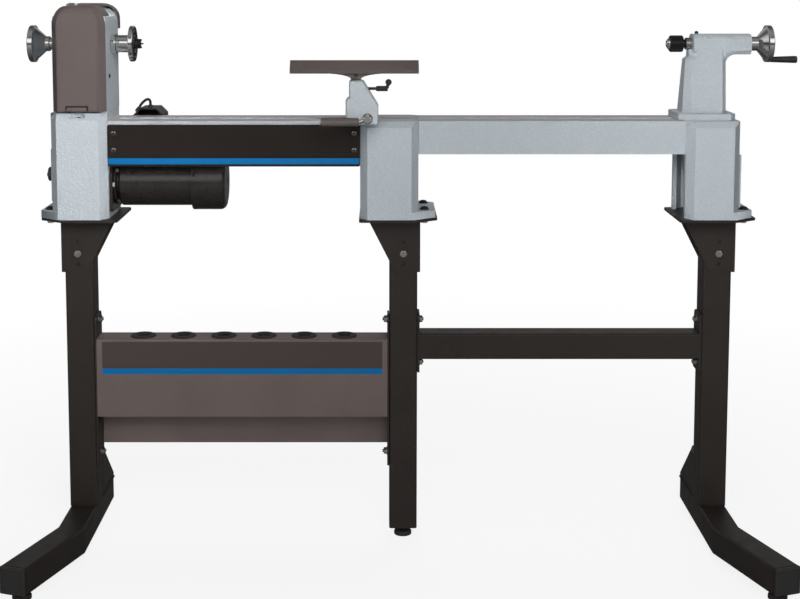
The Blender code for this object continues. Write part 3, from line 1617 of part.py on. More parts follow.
def tube(points, radius, name, material):
    """Round tube along points, as a bevelled poly curve."""
    curve = bpy.data.curves.new(name, "CURVE")
    curve.dimensions = "3D"
    curve.bevel_depth = radius
    curve.bevel_resolution = 2
    curve.use_fill_caps = True
    line = curve.splines.new("POLY")
    line.points.add(len(points) - 1)
    for point, where in zip(line.points, points):
        point.co = (*where, 1)
    made = place(curve, name)
    curve.materials.append(material)
    return made


tube([(x, cable_y, z) for x, z in smooth(cable_route, 3)], cable_radius,
     "control_cable", rubber)

# ================================================================ banjo and tool rest
foot_rest_z = bed_top + gap
clamp_top = way_low - gap


def tee_bolt(at_x, cam_z):
    """Eye round a cam shaft, a shank through the slot and a hex head below the plate."""
    eye = rod((at_x, -eye_half, cam_z), (at_x, eye_half, cam_z), eye_radius, 20)
    join(eye, rod((at_x, 0, clamp_low - gap - clamp_head_high), (at_x, 0, cam_z),
                  clamp_bolt_radius, 12),
         rod((at_x, 0, clamp_low - gap - clamp_head_high), (at_x, 0, clamp_low - gap),
             clamp_head, 6))
    return cut(eye, rod((at_x, -over, cam_z), (at_x, over, cam_z), eye_bore, 20))


banjo_clamp_plate = block((cam_x - clamp_long, -clamp_half, clamp_low),
                          (cam_x + clamp_long, clamp_half, clamp_top), weld)
cut(banjo_clamp_plate, rod((cam_x, 0, clamp_low - over), (cam_x, 0, clamp_top + over),
                           clamp_bolt_radius + gap, 12))
finish(banjo_clamp_plate, "banjo_clamp_plate", steel, (cam_x, 0, clamp_low))
finish(tee_bolt(cam_x, cam_z), "banjo_clamp_bolt", zinc,
       (cam_x, 0, clamp_low))

banjo = plate([[
    (foot_left, foot_rest_z), (foot_right, foot_rest_z), (foot_right, column_knee_z),
    (column_right, column_top), (column_left, column_top), (column_left, column_step_z),
    (foot_left, column_step_z - weld),
]], column_front, column_back, "XZ")
soften(banjo, column_bevel)
banjo_foot = block((foot_left, column_back - over, foot_rest_z),
                   (foot_right, foot_back, foot_crown), column_bevel)
banjo_rib = plate([[
    (column_back - weld, foot_crown - weld), (rib_toe_y, foot_crown - weld),
    (column_back - weld, rib_top),
]], post_at_x - rib_half, post_at_x + rib_half, "YZ")
join(banjo, banjo_foot, banjo_rib)
slot_half = cross_travel + eye_radius + weld
cut(banjo,
    rod((post_at_x, post_at_y, post_low - over), (post_at_x, post_at_y,
                                                  column_top + over),
        post_radius + gap, 20),
    block((cam_x - eye_room, -slot_half, foot_rest_z - over),
          (cam_x + eye_room, slot_half, foot_crown + over)),
    rod((cam_x, column_front - over, cam_z), (cam_x, foot_back - foot_end_wall, cam_z),
        cam_radius + gap, 16),
    rod((post_at_x, post_at_y, lock_z), (foot_right + over, post_at_y, lock_z),
        lock_radius + gap, 10))
finish(banjo, "banjo", hammertone, (cam_x, 0, foot_rest_z))

banjo_cam_lever = rod((cam_x, column_front - gap - cam_ring_high, cam_z),
                      (cam_x, column_front - gap, cam_z), cam_ring, 20)
join(banjo_cam_lever,
     rod((cam_x, column_front - gap - weld, cam_z),
         (cam_x, foot_back - foot_end_wall - gap, cam_z), cam_radius, 16),
     rod((cam_x, lever_y - cam_hub, cam_z), (cam_x, column_front - gap - weld, cam_z),
         cam_hub, 16),
     rod((cam_x, lever_y, cam_z), (grip_start, lever_y, grip_z), lever_stem, 10),
     rod((grip_start + weld, lever_y, grip_z), (grip_end, lever_y, grip_z), grip_radius,
         16))
finish(banjo_cam_lever, "banjo_cam_lever", black_plastic, (cam_x, 0, cam_z))

tool_post = turned([
    (0, spigot_top), (spigot_radius, spigot_top), (spigot_radius, column_top),
    (post_radius, column_top), (post_radius, post_low), (0, post_low),
], (post_at_x, post_at_y, 0), "+Z", 20)
finish(tool_post, "tool_post", steel, (post_at_x, post_at_y, column_top))

tool_rest = plate([[
    (rest_front + rest_toe, rest_low), (rest_back - rest_heel, rest_low),
    (rest_back, rest_low + rest_heel), (rest_back, rest_top),
    (rest_back - rest_edge, rest_top), (rest_front, rest_low + rest_toe * 3),
]], rest_left, rest_right, "YZ")
flare_half = [(rest_neck + flare_run * (1 - math.sin(math.radians(angle))),
               rest_low - flare_drop * (1 - math.cos(math.radians(angle))))
              for angle in range(0, 91, 15)]
flare = plate([
    [(post_at_x - x, z) for x, z in flare_half[::-1]]
    + [(post_at_x - flare_half[0][0], rest_low + weld * 2),
       (post_at_x + flare_half[0][0], rest_low + weld * 2)]
    + [(post_at_x + x, z) for x, z in flare_half]
], post_at_y - flare_thick, post_at_y + flare_thick, "XZ")
join(tool_rest, flare,
     rod((post_at_x, post_at_y, column_top + gap), (post_at_x, post_at_y,
                                                    rest_low + weld * 2), rest_neck, 20))
cut(tool_rest, rod((post_at_x, post_at_y, column_top - over),
                   (post_at_x, post_at_y, spigot_top + gap), spigot_radius + gap, 16))
finish(tool_rest, "tool_rest", rest_paint, (post_at_x, post_at_y, column_top))

rest_lock_lever = rod((post_at_x + post_radius + gap * 2, post_at_y, lock_z),
                      (lock_hub_x + weld, post_at_y, lock_z), lock_radius, 10)
join(rest_lock_lever,
     rod((lock_hub_x, post_at_y, lock_z), (lock_end_x, post_at_y, lock_z), lock_hub, 12),
     rod((lock_end_x - lock_hub, post_at_y, lock_z), (lock_knob_x, post_at_y,
                                                      lock_knob_z), lock_arm, 10))
join(rest_lock_lever, turned([
    (lock_knob * math.sin(math.radians(angle)), lock_knob * math.cos(math.radians(angle)))
    for angle in range(0, 181, 30)], (lock_knob_x, post_at_y, lock_knob_z), "+Z", 10))
finish(rest_lock_lever, "rest_lock_lever", black_plastic, (lock_hub_x, post_at_y, lock_z))

# ================================================================ tailstock


def column_ring(left, half, z):
    """Plan outline of the tailstock column, with unequal bevels on its two sides."""
    right = tail_column_right
    return [
        (left + tail_bevel_left, -half, z), (right - tail_bevel_right, -half, z),
        (right, tail_bevel_right - half, z), (right, half - tail_bevel_right, z),
        (right - tail_bevel_right, half, z), (left + tail_bevel_left, half, z),
        (left, half - tail_bevel_left, z), (left, tail_bevel_left - half, z),
    ]


tail_base_top = foot_rest_z + tail_base_high
tailstock = loft([
    eight(tail_base_left, tail_base_right, bed_half, tail_base_bevel, tail_base_bevel,
          foot_rest_z),
    eight(tail_base_left, tail_base_right, bed_half, tail_base_bevel, tail_base_bevel,
          tail_base_top),
])
tail_column = loft([
    column_ring(tail_foot_left, tail_foot_half, tail_base_top - weld),
    column_ring(tail_column_left, tail_column_half, tail_shoulder_z),
    column_ring(tail_neck_left, tail_column_half - weld, tail_shoulder_z
                + tail_neck_rise),
    column_ring(tail_neck_left, barrel_half - weld, spindle_z - barrel_under / 2),
])
barrel = plate([
    [(barrel_chamfer - barrel_half, spindle_z - barrel_under),
     (barrel_half - barrel_chamfer, spindle_z - barrel_under),
     (barrel_half, spindle_z - barrel_under + barrel_chamfer)]
    + arc((barrel_half - barrel_round, spindle_z + barrel_over - barrel_round),
          barrel_round, 0, 90, 5)
    + arc((barrel_round - barrel_half, spindle_z + barrel_over - barrel_round),
          barrel_round, 90, 180, 5)
    + [(-barrel_half, spindle_z - barrel_under + barrel_chamfer)]
], barrel_left, barrel_right, "YZ")
soften(barrel, barrel_edge, 1, 60)
arm_root_z = spindle_z - barrel_under
arm_centre = (tail_column_right + under_round, arm_root_z - under_round)


def arm_ring(y, inset):
    """Outline of the web under the barrel at one depth, inset where it is bevelled."""
    curve = arc(arm_centre, under_round + inset, 180, 90, 6)
    return [(x, y, z) for x, z in
            [(tail_column_right - over - inset, arm_centre[1] - weld),
             (tail_column_right - inset, arm_centre[1] - weld)] + curve
            + [(arm_centre[0] + weld, arm_root_z + inset + weld),
               (tail_column_right - over - inset, arm_root_z + inset + weld)]]


under_arm = loft([arm_ring(gap - barrel_half, barrel_chamfer + gap),
                  arm_ring(barrel_chamfer - barrel_half, gap),
                  arm_ring(barrel_half - barrel_chamfer, gap),
                  arm_ring(barrel_half - gap, barrel_chamfer + gap)])
tongue = block((tongue_left, -tongue_wide, bed_top - tongue_deep),
               (tongue_right, tongue_wide, foot_rest_z + weld))
join(tailstock, tail_column, barrel, under_arm, tongue)
cut(tailstock,
    rod((barrel_left - over, 0, spindle_z), (barrel_right - barrel_wall, 0, spindle_z),
        quill_radius + gap, 24),
    rod((barrel_left, 0, spindle_z), (barrel_right + over, 0, spindle_z),
        screw_radius + gap, 16),
    block((tail_bolt_x - eye_room, -tail_pocket_half, bed_top - tongue_deep - over),
          (tail_bolt_x + eye_room, tail_pocket_half, tail_cam_z + eye_room + weld)),
    rod((tail_bolt_x, tail_shaft_front - gap, tail_cam_z),
        (tail_bolt_x, bed_half + over, tail_cam_z), cam_radius + gap, 16),
    rod((quill_lock_x, 0, spindle_z), (quill_lock_x, bed_half, spindle_z),
        lock_radius + gap, 10))
finish(tailstock, "tailstock", hammertone, (tail_bolt_x, 0, foot_rest_z))

tail_clamp_bolt = tee_bolt(tail_bolt_x, tail_cam_z)
join(tail_clamp_bolt, block((tail_bolt_x - clamp_long, -clamp_half, clamp_low - gap * 2),
                            (tail_bolt_x + clamp_long, clamp_half, clamp_top)))
finish(tail_clamp_bolt, "tail_clamp_bolt", steel, (tail_bolt_x, 0, clamp_low))

tail_cam_lever = rod((tail_bolt_x, tail_shaft_front, tail_cam_z),
                     (tail_bolt_x, tail_hub_front + weld, tail_cam_z), cam_radius, 16)
join(tail_cam_lever,
     rod((tail_bolt_x, tail_hub_front, tail_cam_z), (tail_bolt_x, tail_hub_back,
                                                     tail_cam_z), cam_ring, 16),
     rod((tail_bolt_x, tail_hub_back - lever_stem, tail_cam_z),
         (tail_grip_x, tail_hub_back - lever_stem, tail_grip_z), lever_stem, 10),
     rod(((tail_bolt_x + tail_grip_x) / 2, tail_hub_back - lever_stem,
          (tail_cam_z + tail_grip_z) / 2),
         (tail_grip_x, tail_hub_back - lever_stem, tail_grip_z), lever_stem + weld, 12))
finish(tail_cam_lever, "tail_cam_lever", black_plastic, (tail_bolt_x, 0, tail_cam_z))

quill = turned([
    (0, screw_start - quill_rear_room), (screw_radius + gap,
                                         screw_start - quill_rear_room),
    (screw_radius + gap, quill_rear), (quill_radius, quill_rear),
    (quill_radius, quill_front + weld), (quill_radius - weld, quill_front),
    (arbor_radius + gap, quill_front), (arbor_radius + gap, quill_front + quill_socket),
    (0, quill_front + quill_socket),
], spindle_at, "+X", 20)
finish(quill, "quill", steel, spindle_at)

live_center_body = turned([
    (0, quill_front + quill_socket - weld), (arbor_radius, quill_front + quill_socket
                                             - weld),
    (arbor_radius, quill_front - gap), (live_neck, quill_front - gap),
    (live_neck, live_back), (live_radius, live_back), (live_radius, live_front),
    (live_axle + gap, live_front), (live_axle + gap, live_axle_end + gap),
    (0, live_axle_end + gap),
], spindle_at, "+X", 20)
finish(live_center_body, "live_center_body", black_steel, spindle_at)

live_center_nose = turned([
    (0, live_axle_end), (live_axle, live_axle_end), (live_axle, live_front - gap),
    (live_cone, live_front - gap), (live_tip, live_tip_x), (0, live_tip_x),
], spindle_at, "+X", 24)
finish(live_center_nose, "live_center_nose", chrome, spindle_at)

tail_handwheel = turned([
    (0, hand_face - hand_boss_deep), (hand_boss, hand_face - hand_boss_deep),
    (hand_dish, hand_face - hand_dish_deep), (hand_cone, hand_face),
    (hand_radius - wheel_edge, hand_face), (hand_radius, hand_face - wheel_edge),
    (hand_radius, hand_face - hand_rim + wheel_edge), (hand_cone, hand_face - hand_rim),
    (hand_collar, hand_neck_x), (hand_collar, barrel_right + gap),
    (screw_radius, barrel_right + gap), (screw_radius, screw_start), (0, screw_start),
], spindle_at, "+X", 24)
cut(tail_handwheel, rod((hand_face - hand_rim - over, 0, spindle_z - crank_radius),
                        (hand_face + over, 0, spindle_z - crank_radius),
                        crank_pin + gap, 10))
finish(tail_handwheel, "tail_handwheel", chrome, spindle_at)

tail_handle = turned([
    (0, crank_end), (crank_grip_end, crank_end), (crank_grip, hand_face + gap),
    (crank_pin, hand_face + gap), (crank_pin, hand_face - hand_rim), (0, hand_face
                                                                      - hand_rim),
], (0, 0, spindle_z - crank_radius), "+X", 16)
finish(tail_handle, "tail_handle", black_plastic, (0, 0, spindle_z - crank_radius))

quill_lock = rod((quill_lock_x, quill_radius + gap, spindle_z),
                 (quill_lock_x, quill_lock_hub_y + weld, spindle_z), lock_radius, 10)
join(quill_lock,
     rod((quill_lock_x, quill_lock_hub_y, spindle_z),
         (quill_lock_x, quill_lock_hub_y + lock_hub * 2, spindle_z), lock_hub, 12),
     rod((quill_lock_x, quill_lock_hub_y + lock_hub, spindle_z),
         (quill_lock_x, quill_lock_hub_y + lock_hub, quill_lock_top), lock_arm, 10))
finish(quill_lock, "quill_lock", black_plastic, (quill_lock_x, 0, spindle_z))
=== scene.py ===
# %% [markdown]
# # A wood lathe on a steel stand
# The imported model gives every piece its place.  This lesson dresses it: it rounds the
# edges that a caster, a welder and a turner would leave, adds the small fasteners, and
# gives each surface its paint, plating or moulded grain.

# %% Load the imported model
import json
import math

import bmesh
import bpy
from mathutils import Matrix, Vector


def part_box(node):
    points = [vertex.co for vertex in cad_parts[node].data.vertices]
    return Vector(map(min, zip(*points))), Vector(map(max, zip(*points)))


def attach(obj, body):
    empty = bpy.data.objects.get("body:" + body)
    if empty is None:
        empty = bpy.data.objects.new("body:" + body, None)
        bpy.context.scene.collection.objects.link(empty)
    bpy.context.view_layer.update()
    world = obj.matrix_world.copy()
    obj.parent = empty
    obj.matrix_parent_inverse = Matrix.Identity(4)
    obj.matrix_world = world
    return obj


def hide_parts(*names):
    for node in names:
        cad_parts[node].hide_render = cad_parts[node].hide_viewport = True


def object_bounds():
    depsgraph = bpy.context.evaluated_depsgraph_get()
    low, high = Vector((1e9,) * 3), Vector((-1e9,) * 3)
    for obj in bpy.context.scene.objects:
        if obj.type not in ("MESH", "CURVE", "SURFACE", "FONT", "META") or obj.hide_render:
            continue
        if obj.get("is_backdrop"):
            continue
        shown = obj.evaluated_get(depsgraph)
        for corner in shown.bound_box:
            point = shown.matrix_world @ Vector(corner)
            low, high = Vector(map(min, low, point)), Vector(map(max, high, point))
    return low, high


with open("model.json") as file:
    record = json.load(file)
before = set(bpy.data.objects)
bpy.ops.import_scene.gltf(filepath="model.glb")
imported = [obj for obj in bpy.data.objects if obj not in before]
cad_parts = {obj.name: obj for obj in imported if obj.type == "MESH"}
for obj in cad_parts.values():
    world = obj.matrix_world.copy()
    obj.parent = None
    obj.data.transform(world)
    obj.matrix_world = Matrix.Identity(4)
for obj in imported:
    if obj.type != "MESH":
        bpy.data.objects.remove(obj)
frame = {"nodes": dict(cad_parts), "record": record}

cad_low, cad_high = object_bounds()
record = frame["record"]
slot_of = {row["node"]: row["material_slot"] for row in record["subparts"]}
body_of = {node: body for body, nodes in record["behaviour"]["bodies"].items()
           for node in nodes}


def middle_height(node):
    low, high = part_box(node)
    return (low.z + high.z) / 2


head_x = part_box("headstock")[1].x
spindle_z = middle_height("faceplate")
motor_z = middle_height("motor_end_cap")
bed_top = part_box("bed_extension")[1].z
print(f"{len(frame['nodes'])} nodes, spindle axis {spindle_z:.4f} m above the floor")

# %% [markdown]
# ## Camera
# The lathe is seen from the operator's side, a little above the spindle, through a long
# lens.  A long lens keeps the posts nearly parallel.  The shift slides the picture over
# the lathe without turning the camera, so upright edges stay upright.

# %% Camera


def place(name, data):
    """Object in the scene for a mesh, a lamp, a curve or a camera."""
    made = bpy.data.objects.new(name, data)
    bpy.context.scene.collection.objects.link(made)
    return made


camera_data = bpy.data.cameras.new("bench_camera")
camera_data.sensor_width = 36
camera_data.lens = 63.45
camera_data.shift_x = 0.025
camera_data.shift_y = -0.2206
camera = place("bench_camera", camera_data)
camera.location = (-0.0721, -3.0, 1.2077)
camera.rotation_euler = (math.radians(90 - 5.711), 0, 0)
bpy.context.scene.camera = camera
bpy.context.scene.view_settings.view_transform = "Standard"
print("camera at", tuple(round(v, 3) for v in camera.location))

# %% [markdown]
# ## Studio light
# Machine makers show a lathe in a white room, lit by soft boxes near the camera.
# Area lamps stand in for the boxes: the key in front, a low one for the feet, a small one
# for each end of the spindle axis, with a grid that keeps its beam narrow, and one high
# behind for a rim of light.  Polished metal doesn't mirror them, because the white room
# below gives it its bands.

# %% Lamps


def soft_box(name, where, target, size, watts, beam=180):
    """Square area lamp that faces a point, with its beam in degrees."""
    data = bpy.data.lights.new(name, "AREA")
    data.shape = "SQUARE"
    data.size = size
    data.energy = watts
    data.spread = math.radians(beam)
    lamp = place(name, data)
    lamp.location = where
    lamp.visible_glossy = False
    aim = Vector(target) - Vector(where)
    lamp.rotation_euler = aim.to_track_quat("-Z", "Y").to_euler()


soft_box("front_key_box", (0.0, -2.7, 2.1), (0, 0, 0.75), 1.4, 30)
soft_box("low_box", (0.0, -2.2, 0.30), (0, 0, 0.20), 1.4, 10)
soft_box("head_box", (0.24, -1.8, 1.6), (-0.84, 0, 0.90), 0.7, 2.2, beam=40)
soft_box("tail_box", (-0.25, -1.8, 1.6), (0.78, 0, 0.92), 0.7, 1.2, beam=40)
soft_box("rear_top_box", (0.3, 2.0, 3.0), (0, 0, 0.9), 2.2, 30)
print("5 soft boxes")

# %% [markdown]
# ## Node networks
# The world, the floor and every finish are small networks of nodes.  One helper adds a
# node, sets its options, and fills its inputs with values or with the sockets of other
# nodes, so a network reads as a list of steps.

# %% Node helpers


def add(owner, kind, inputs=(), out=0, **options):
    """Add a node to a material, world or group and return one of its sockets."""
    tree = getattr(owner, "node_tree", owner)
    node = tree.nodes.new(kind)
    for option, value in options.items():
        setattr(node, option, value)
    for socket, value in dict(inputs).items():
        if isinstance(value, bpy.types.NodeSocket):
            tree.links.new(value, node.inputs[socket])
        else:
            node.inputs[socket].default_value = value
    return node.outputs[out] if len(node.outputs) else None


def maths(owner, operation, *values):
    return add(owner, "ShaderNodeMath", enumerate(values), operation=operation)


def spread(owner, value, low, high, out_low=0.0, out_high=1.0):
    """Stretch a value from one range to another, clamped."""
    return add(owner, "ShaderNodeMapRange", {
        "Value": value, "From Min": low, "From Max": high, "To Min": out_low,
        "To Max": out_high})


def along(owner, vector, axis):
    return add(owner, "ShaderNodeSeparateXYZ", {0: vector}, axis)


def ray(owner, kind):
    """1 where a surface is reached by one kind of ray, such as the camera's."""
    return add(owner, "ShaderNodeLightPath", out=kind)


def mixed(owner, share, first, second):
    return add(owner, "ShaderNodeMixShader", {"Fac": share, 1: first, 2: second})


print("node helpers ready")

# %% [markdown]
# ## White room
# The camera sees a plain white world.  Polished metal needs dark and light to look like
# metal, so mirror rays see a dark room with a bright band above eye level and a dimmer
# one below, brighter on the operator's side.  Other rays get a fill light that fades
# towards both sides.

# %% World
world = bpy.data.worlds.new("white_room")
bpy.context.scene.world = world
world.use_nodes = True
world.node_tree.nodes.clear()
look = add(world, "ShaderNodeTexCoord", out="Generated")
height = spread(world, along(world, look, "Z"), -1, 1)
room = add(world, "ShaderNodeValToRGB", {"Fac": height})
stops = room.node.color_ramp.elements
stops[0].position, stops[0].color = 0.0, (0.10, 0.095, 0.09, 1)
stops[1].position, stops[1].color = 1.0, (0.34, 0.35, 0.36, 1)
for position, level in ((0.20, 0.16), (0.36, 0.30), (0.44, 0.36), (0.475, 0.05),
                        (0.53, 0.05), (0.57, 0.70), (0.64, 1.25), (0.74, 1.10),
                        (0.80, 0.12)):
    stops.new(position).color = (level, level, level, 1)
from_front = spread(world, along(world, look, "Y"), 0.4, -0.6, 0.3, 1.0)
mirrored = add(world, "ShaderNodeBackground", {"Color": room, "Strength": from_front})
from_side = maths(world, "ABSOLUTE", along(world, look, "X"))
fill_share = spread(world, from_side, 0.35, 0.9, 0.29, 0.07)
fill = add(world, "ShaderNodeBackground",
           {"Color": (0.94, 0.97, 1.0, 1), "Strength": fill_share})
white = add(world, "ShaderNodeBackground", {"Color": (1, 1, 1, 1)})
lit = mixed(world, ray(world, "Is Glossy Ray"), fill, mirrored)
add(world, "ShaderNodeOutputWorld",
    {"Surface": mixed(world, ray(world, "Is Camera Ray"), lit, white)})
print("white world,", len(stops), "stops in its mirror image")

# %% [markdown]
# ## Floor
# A pale floor grounds the feet.  Most of what the camera sees of it is white, and the
# rest is a plain diffuse surface, so soft contact shadows stay.  Far from the lathe it is
# all white, so no horizon shows, and mirror rays pass through it.

# %% Floor
reach = 30.0
floor_mesh = bpy.data.meshes.new("floor")
floor_mesh.from_pydata([(-reach, -reach, 0), (reach, -reach, 0), (reach, reach, 0),
                        (-reach, reach, 0)], [], [(0, 1, 2, 3)])
floor = place("floor", floor_mesh)
floor_paint = bpy.data.materials.new("pale_floor")
floor_paint.use_nodes = True
floor_paint.node_tree.nodes.clear()
plain = add(floor_paint, "ShaderNodeBsdfDiffuse", {"Color": (0.86, 0.86, 0.86, 1)})
glow = add(floor_paint, "ShaderNodeEmission", {"Color": (1, 1, 1, 1)})
spot = add(floor_paint, "ShaderNodeTexCoord", out="Object")
away = add(floor_paint, "ShaderNodeVectorMath", {0: spot}, "Value", operation="LENGTH")
white_share = maths(floor_paint, "MULTIPLY", ray(floor_paint, "Is Camera Ray"),
                    spread(floor_paint, away, 0.9, 2.4, 0.86, 1.0))
seen = mixed(floor_paint, white_share, plain, glow)
clear = add(floor_paint, "ShaderNodeBsdfTransparent")
add(floor_paint, "ShaderNodeOutputMaterial",
    {"Surface": mixed(floor_paint, ray(floor_paint, "Is Glossy Ray"), seen, clear)})
floor_mesh.materials.append(floor_paint)
floor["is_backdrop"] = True
print("floor", 2 * reach, "m across")

# %% [markdown]
# ## Finishes
# A finish is a colour that wanders a little, a roughness, and a bump at the scale of the
# real surface.  All of them read Object coordinates, so a pattern is the same size in
# metres on every piece and stays put when a piece moves.

# %% Finish helpers


def new_finish(name, colour, **sockets):
    """Principled material; an underscore in a socket's name stands for a space."""
    made = bpy.data.materials.new(name)
    made.use_nodes = True
    made.diffuse_color = (*colour, 1)
    inputs = made.node_tree.nodes["Principled BSDF"].inputs
    inputs["Base Color"].default_value = (*colour, 1)
    for socket, value in sockets.items():
        inputs[socket.replace("_", " ")].default_value = value
    return made


def where(made):
    return add(made, "ShaderNodeTexCoord", out="Object")


def noise_of(made, scale, detail=3.0, stretch=None, out="Fac"):
    """Noise in Object coordinates; stretch lengthens the grain along an axis."""
    source = where(made)
    if stretch:
        source = add(made, "ShaderNodeMapping", {"Vector": source, "Scale": stretch})
    return add(made, "ShaderNodeTexNoise",
               {"Vector": source, "Scale": scale, "Detail": detail}, out)


def shade(colour, share):
    return tuple(min(1, part * share) for part in colour)


def blended(made, share, first, second):
    """Colour between two colours or colour sockets."""
    low, high = [colour if isinstance(colour, bpy.types.NodeSocket) else (*colour, 1)
                 for colour in (first, second)]
    return add(made, "ShaderNodeMix", {0: share, 6: low, 7: high}, 2, data_type="RGBA")


def wire(made, socket, value):
    made.node_tree.links.new(value, made.node_tree.nodes["Principled BSDF"].inputs[socket])


def tone_of(made):
    """Socket that a finish takes its colour from."""
    shader = made.node_tree.nodes["Principled BSDF"]
    return shader.inputs["Base Color"].links[0].from_socket


def bump(made, height, depth, strength=1.0):
    """Bump of a depth in metres from a height between 0 and 1."""
    wire(made, "Normal", add(made, "ShaderNodeBump", {
        "Distance": depth, "Strength": strength, "Height": height}, "Normal"))


def band(made, axis, low, high):
    """1 between two heights along an axis, else 0."""
    return maths(made, "COMPARE", along(made, where(made), axis), (low + high) / 2,
                 (high - low) / 2)


def both(made, first, second):
    return maths(made, "MULTIPLY", first, second)


print("finish helpers ready")

# %% [markdown]
# ## Hammered enamel
# The castings wear hammertone enamel: while it dries, silicone in it pulls the film into
# worm-like cells about 4 mm across.  A smooth Voronoi pattern warped by noise gives the
# cells, and a second broad noise gives the soft swells of the sand casting below.

# %% Hammertone
cell_scale = 215.0


def hammertone(name, colour):
    """Grey-blue enamel with hammered cells."""
    made = new_finish(name, colour, Roughness=0.36)
    warp = add(made, "ShaderNodeVectorMath",
               {0: noise_of(made, 120, 1, out="Color"), 1: (0.006, 0.006, 0.006),
                2: where(made)}, operation="MULTIPLY_ADD")
    cells = add(made, "ShaderNodeTexVoronoi", {
        "Vector": warp, "Scale": cell_scale, "Smoothness": 0.35}, "Distance",
        feature="SMOOTH_F1")
    pits = spread(made, cells, 0.12, 0.62)
    height = maths(made, "MULTIPLY_ADD", pits, -0.45, noise_of(made, 22, 2))
    tone = blended(made, pits, shade(colour, 1.03), shade(colour, 0.92))
    patchy = spread(made, noise_of(made, 7, 2), 0.35, 0.65, 0.0, 0.16)
    tone = blended(made, patchy, tone, shade(colour, 0.88))
    wire(made, "Base Color", tone)
    wire(made, "Roughness", spread(made, pits, 0, 1, 0.30, 0.46))
    bump(made, height, 0.0011, 0.9)
    return made


enamel_colour = (0.450, 0.492, 0.524)
enamel = hammertone("hammertone_enamel", enamel_colour)
print("enamel", enamel_colour)

# %% [markdown]
# The two bed castings carry ways, the ground strips that the banjo and tailstock slide
# on.  The same enamel is used, and everything within a millimetre of the bed's top
# becomes bare ground iron with fine marks along the bed.

# %% Enamel with ground ways
way_enamel = hammertone("enamel_with_ground_ways", enamel_colour)
ground_depth, way_end, way_half = 0.0009, 1.3225, 0.0655
ground = band(way_enamel, "Z", bed_top - ground_depth, bed_top + 0.001)
past_head = band(way_enamel, "X", head_x + 0.001, head_x + way_end)
between = band(way_enamel, "Y", -way_half, way_half)
bare = both(way_enamel, ground, both(way_enamel, past_head, between))
marks = noise_of(way_enamel, 60, 4, (0.06, 14, 14))
iron = blended(way_enamel, marks, (0.42, 0.385, 0.38), (0.62, 0.58, 0.57))
wire(way_enamel, "Base Color", blended(way_enamel, bare, tone_of(way_enamel), iron))
wire(way_enamel, "Metallic", spread(way_enamel, bare, 0, 1, 0, 0.35))
wire(way_enamel, "Roughness", spread(way_enamel, bare, 0, 1, 0.38, 0.30))
print("ways bare above", round(bed_top - ground_depth, 4))

# %% [markdown]
# ## Powder coat and moulded plastic
# The stand is powder coated.  The coat flows before it cures, so it has a fine orange
# peel about a millimetre across.  Moulded covers have a spark-eroded grain, finer still.

# %% Paints and plastics


def coated(name, colour, roughness, peel_scale, peel_depth, wander=0.12, **sockets):
    """Paint or plastic: a skin texture, and tone and gloss that wander."""
    made = new_finish(name, colour, Roughness=roughness, **sockets)
    tone = blended(made, spread(made, noise_of(made, 9, 3), 0.3, 0.7),
                   tuple(c * (1 - wander) for c in colour),
                   tuple(c * (1 + wander) for c in colour))
    wire(made, "Base Color", tone)
    wire(made, "Roughness", spread(made, noise_of(made, 26, 4), 0.3, 0.7,
                                   roughness - 0.05, roughness + 0.05))
    bump(made, noise_of(made, peel_scale, 2), peel_depth)
    return made


stand_paint = coated("stand_powder_coat", (0.0230, 0.0182, 0.0158), 0.42, 620, 0.00022,
                     Specular_IOR_Level=0.35)
cover_plastic = coated("cover_plastic_grain", (0.104, 0.082, 0.078), 0.42, 1300, 0.00012,
                       0.06)
black_plastic = coated("black_plastic_grain", (0.022, 0.020, 0.019), 0.40, 1100, 0.00010)
motor_paint = coated("motor_gloss_enamel", (0.015, 0.0122, 0.0112), 0.27, 260,
                     0.00016, 0.1, Coat_Weight=0.35)
rest_paint = coated("rest_satin_paint", (0.098, 0.080, 0.075), 0.44, 420, 0.0003)
rubber = coated("moulded_rubber", (0.027, 0.024, 0.023), 0.72, 900, 0.00012)
grip_plastic = coated("grip_plastic", (0.088, 0.074, 0.070), 0.42, 1000, 0.00010)
belt_rubber = coated("belt_rubber", (0.020, 0.020, 0.021), 0.66, 700, 0.0002)
black_oxide = coated("black_oxide_steel", (0.030, 0.028, 0.028), 0.34, 500, 0.00006,
                     Metallic=0.7)
# A near-black finish that paints the shadow of a gap round the cover's finger tab.
painted_shadow_finish = coated("socket_shadow", (0.010, 0.009, 0.009), 0.8, 500, 0.00005)
print("10 paints and plastics")

# %% [markdown]
# The bed panel and the tool shelf each carry one plain blue stripe.  A stripe is a band
# of height, so it is written into the paint itself and needs no second mesh.

# %% Striped paints


stripe_blue = (0.001, 0.130, 0.345)
shelf_front = -0.031
shelf_stripe, panel_stripe = (0.3670, 0.3794), (0.8283, 0.8408)
dark_band_top, dark_band_tone = 0.4380, (0.062, 0.048, 0.044)
panel_low, panel_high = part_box("bed_panel")


def striped(name, colour, roughness, heights, ends, front=None):
    """Powder coat with a blue stripe; on a front face, a dark band stands above it."""
    made = coated(name, colour, roughness, 620, 0.00018, 0.07, Specular_IOR_Level=0.15)
    tone = tone_of(made)
    across = band(made, "X", *ends)
    if front is not None:
        across = both(made, across, band(made, "Y", front - 0.004, front + 0.0012))
        above = both(made, band(made, "Z", heights[1], dark_band_top), across)
        tone = blended(made, above, tone, dark_band_tone)
    stripe = both(made, band(made, "Z", *heights), across)
    wire(made, "Base Color", blended(made, stripe, tone, stripe_blue))
    return made


shelf_paint = striped("shelf_powder_coat", (0.138, 0.110, 0.103), 0.44, shelf_stripe,
                      (head_x - 0.028, head_x + 0.575), shelf_front)
panel_paint = striped("panel_powder_coat", (0.0170, 0.0130, 0.0112), 0.40, panel_stripe,
                      (panel_low.x + 0.0015, panel_high.x - 0.0015))
print("stripes at", shelf_stripe[0], "m and", panel_stripe[0], "m")

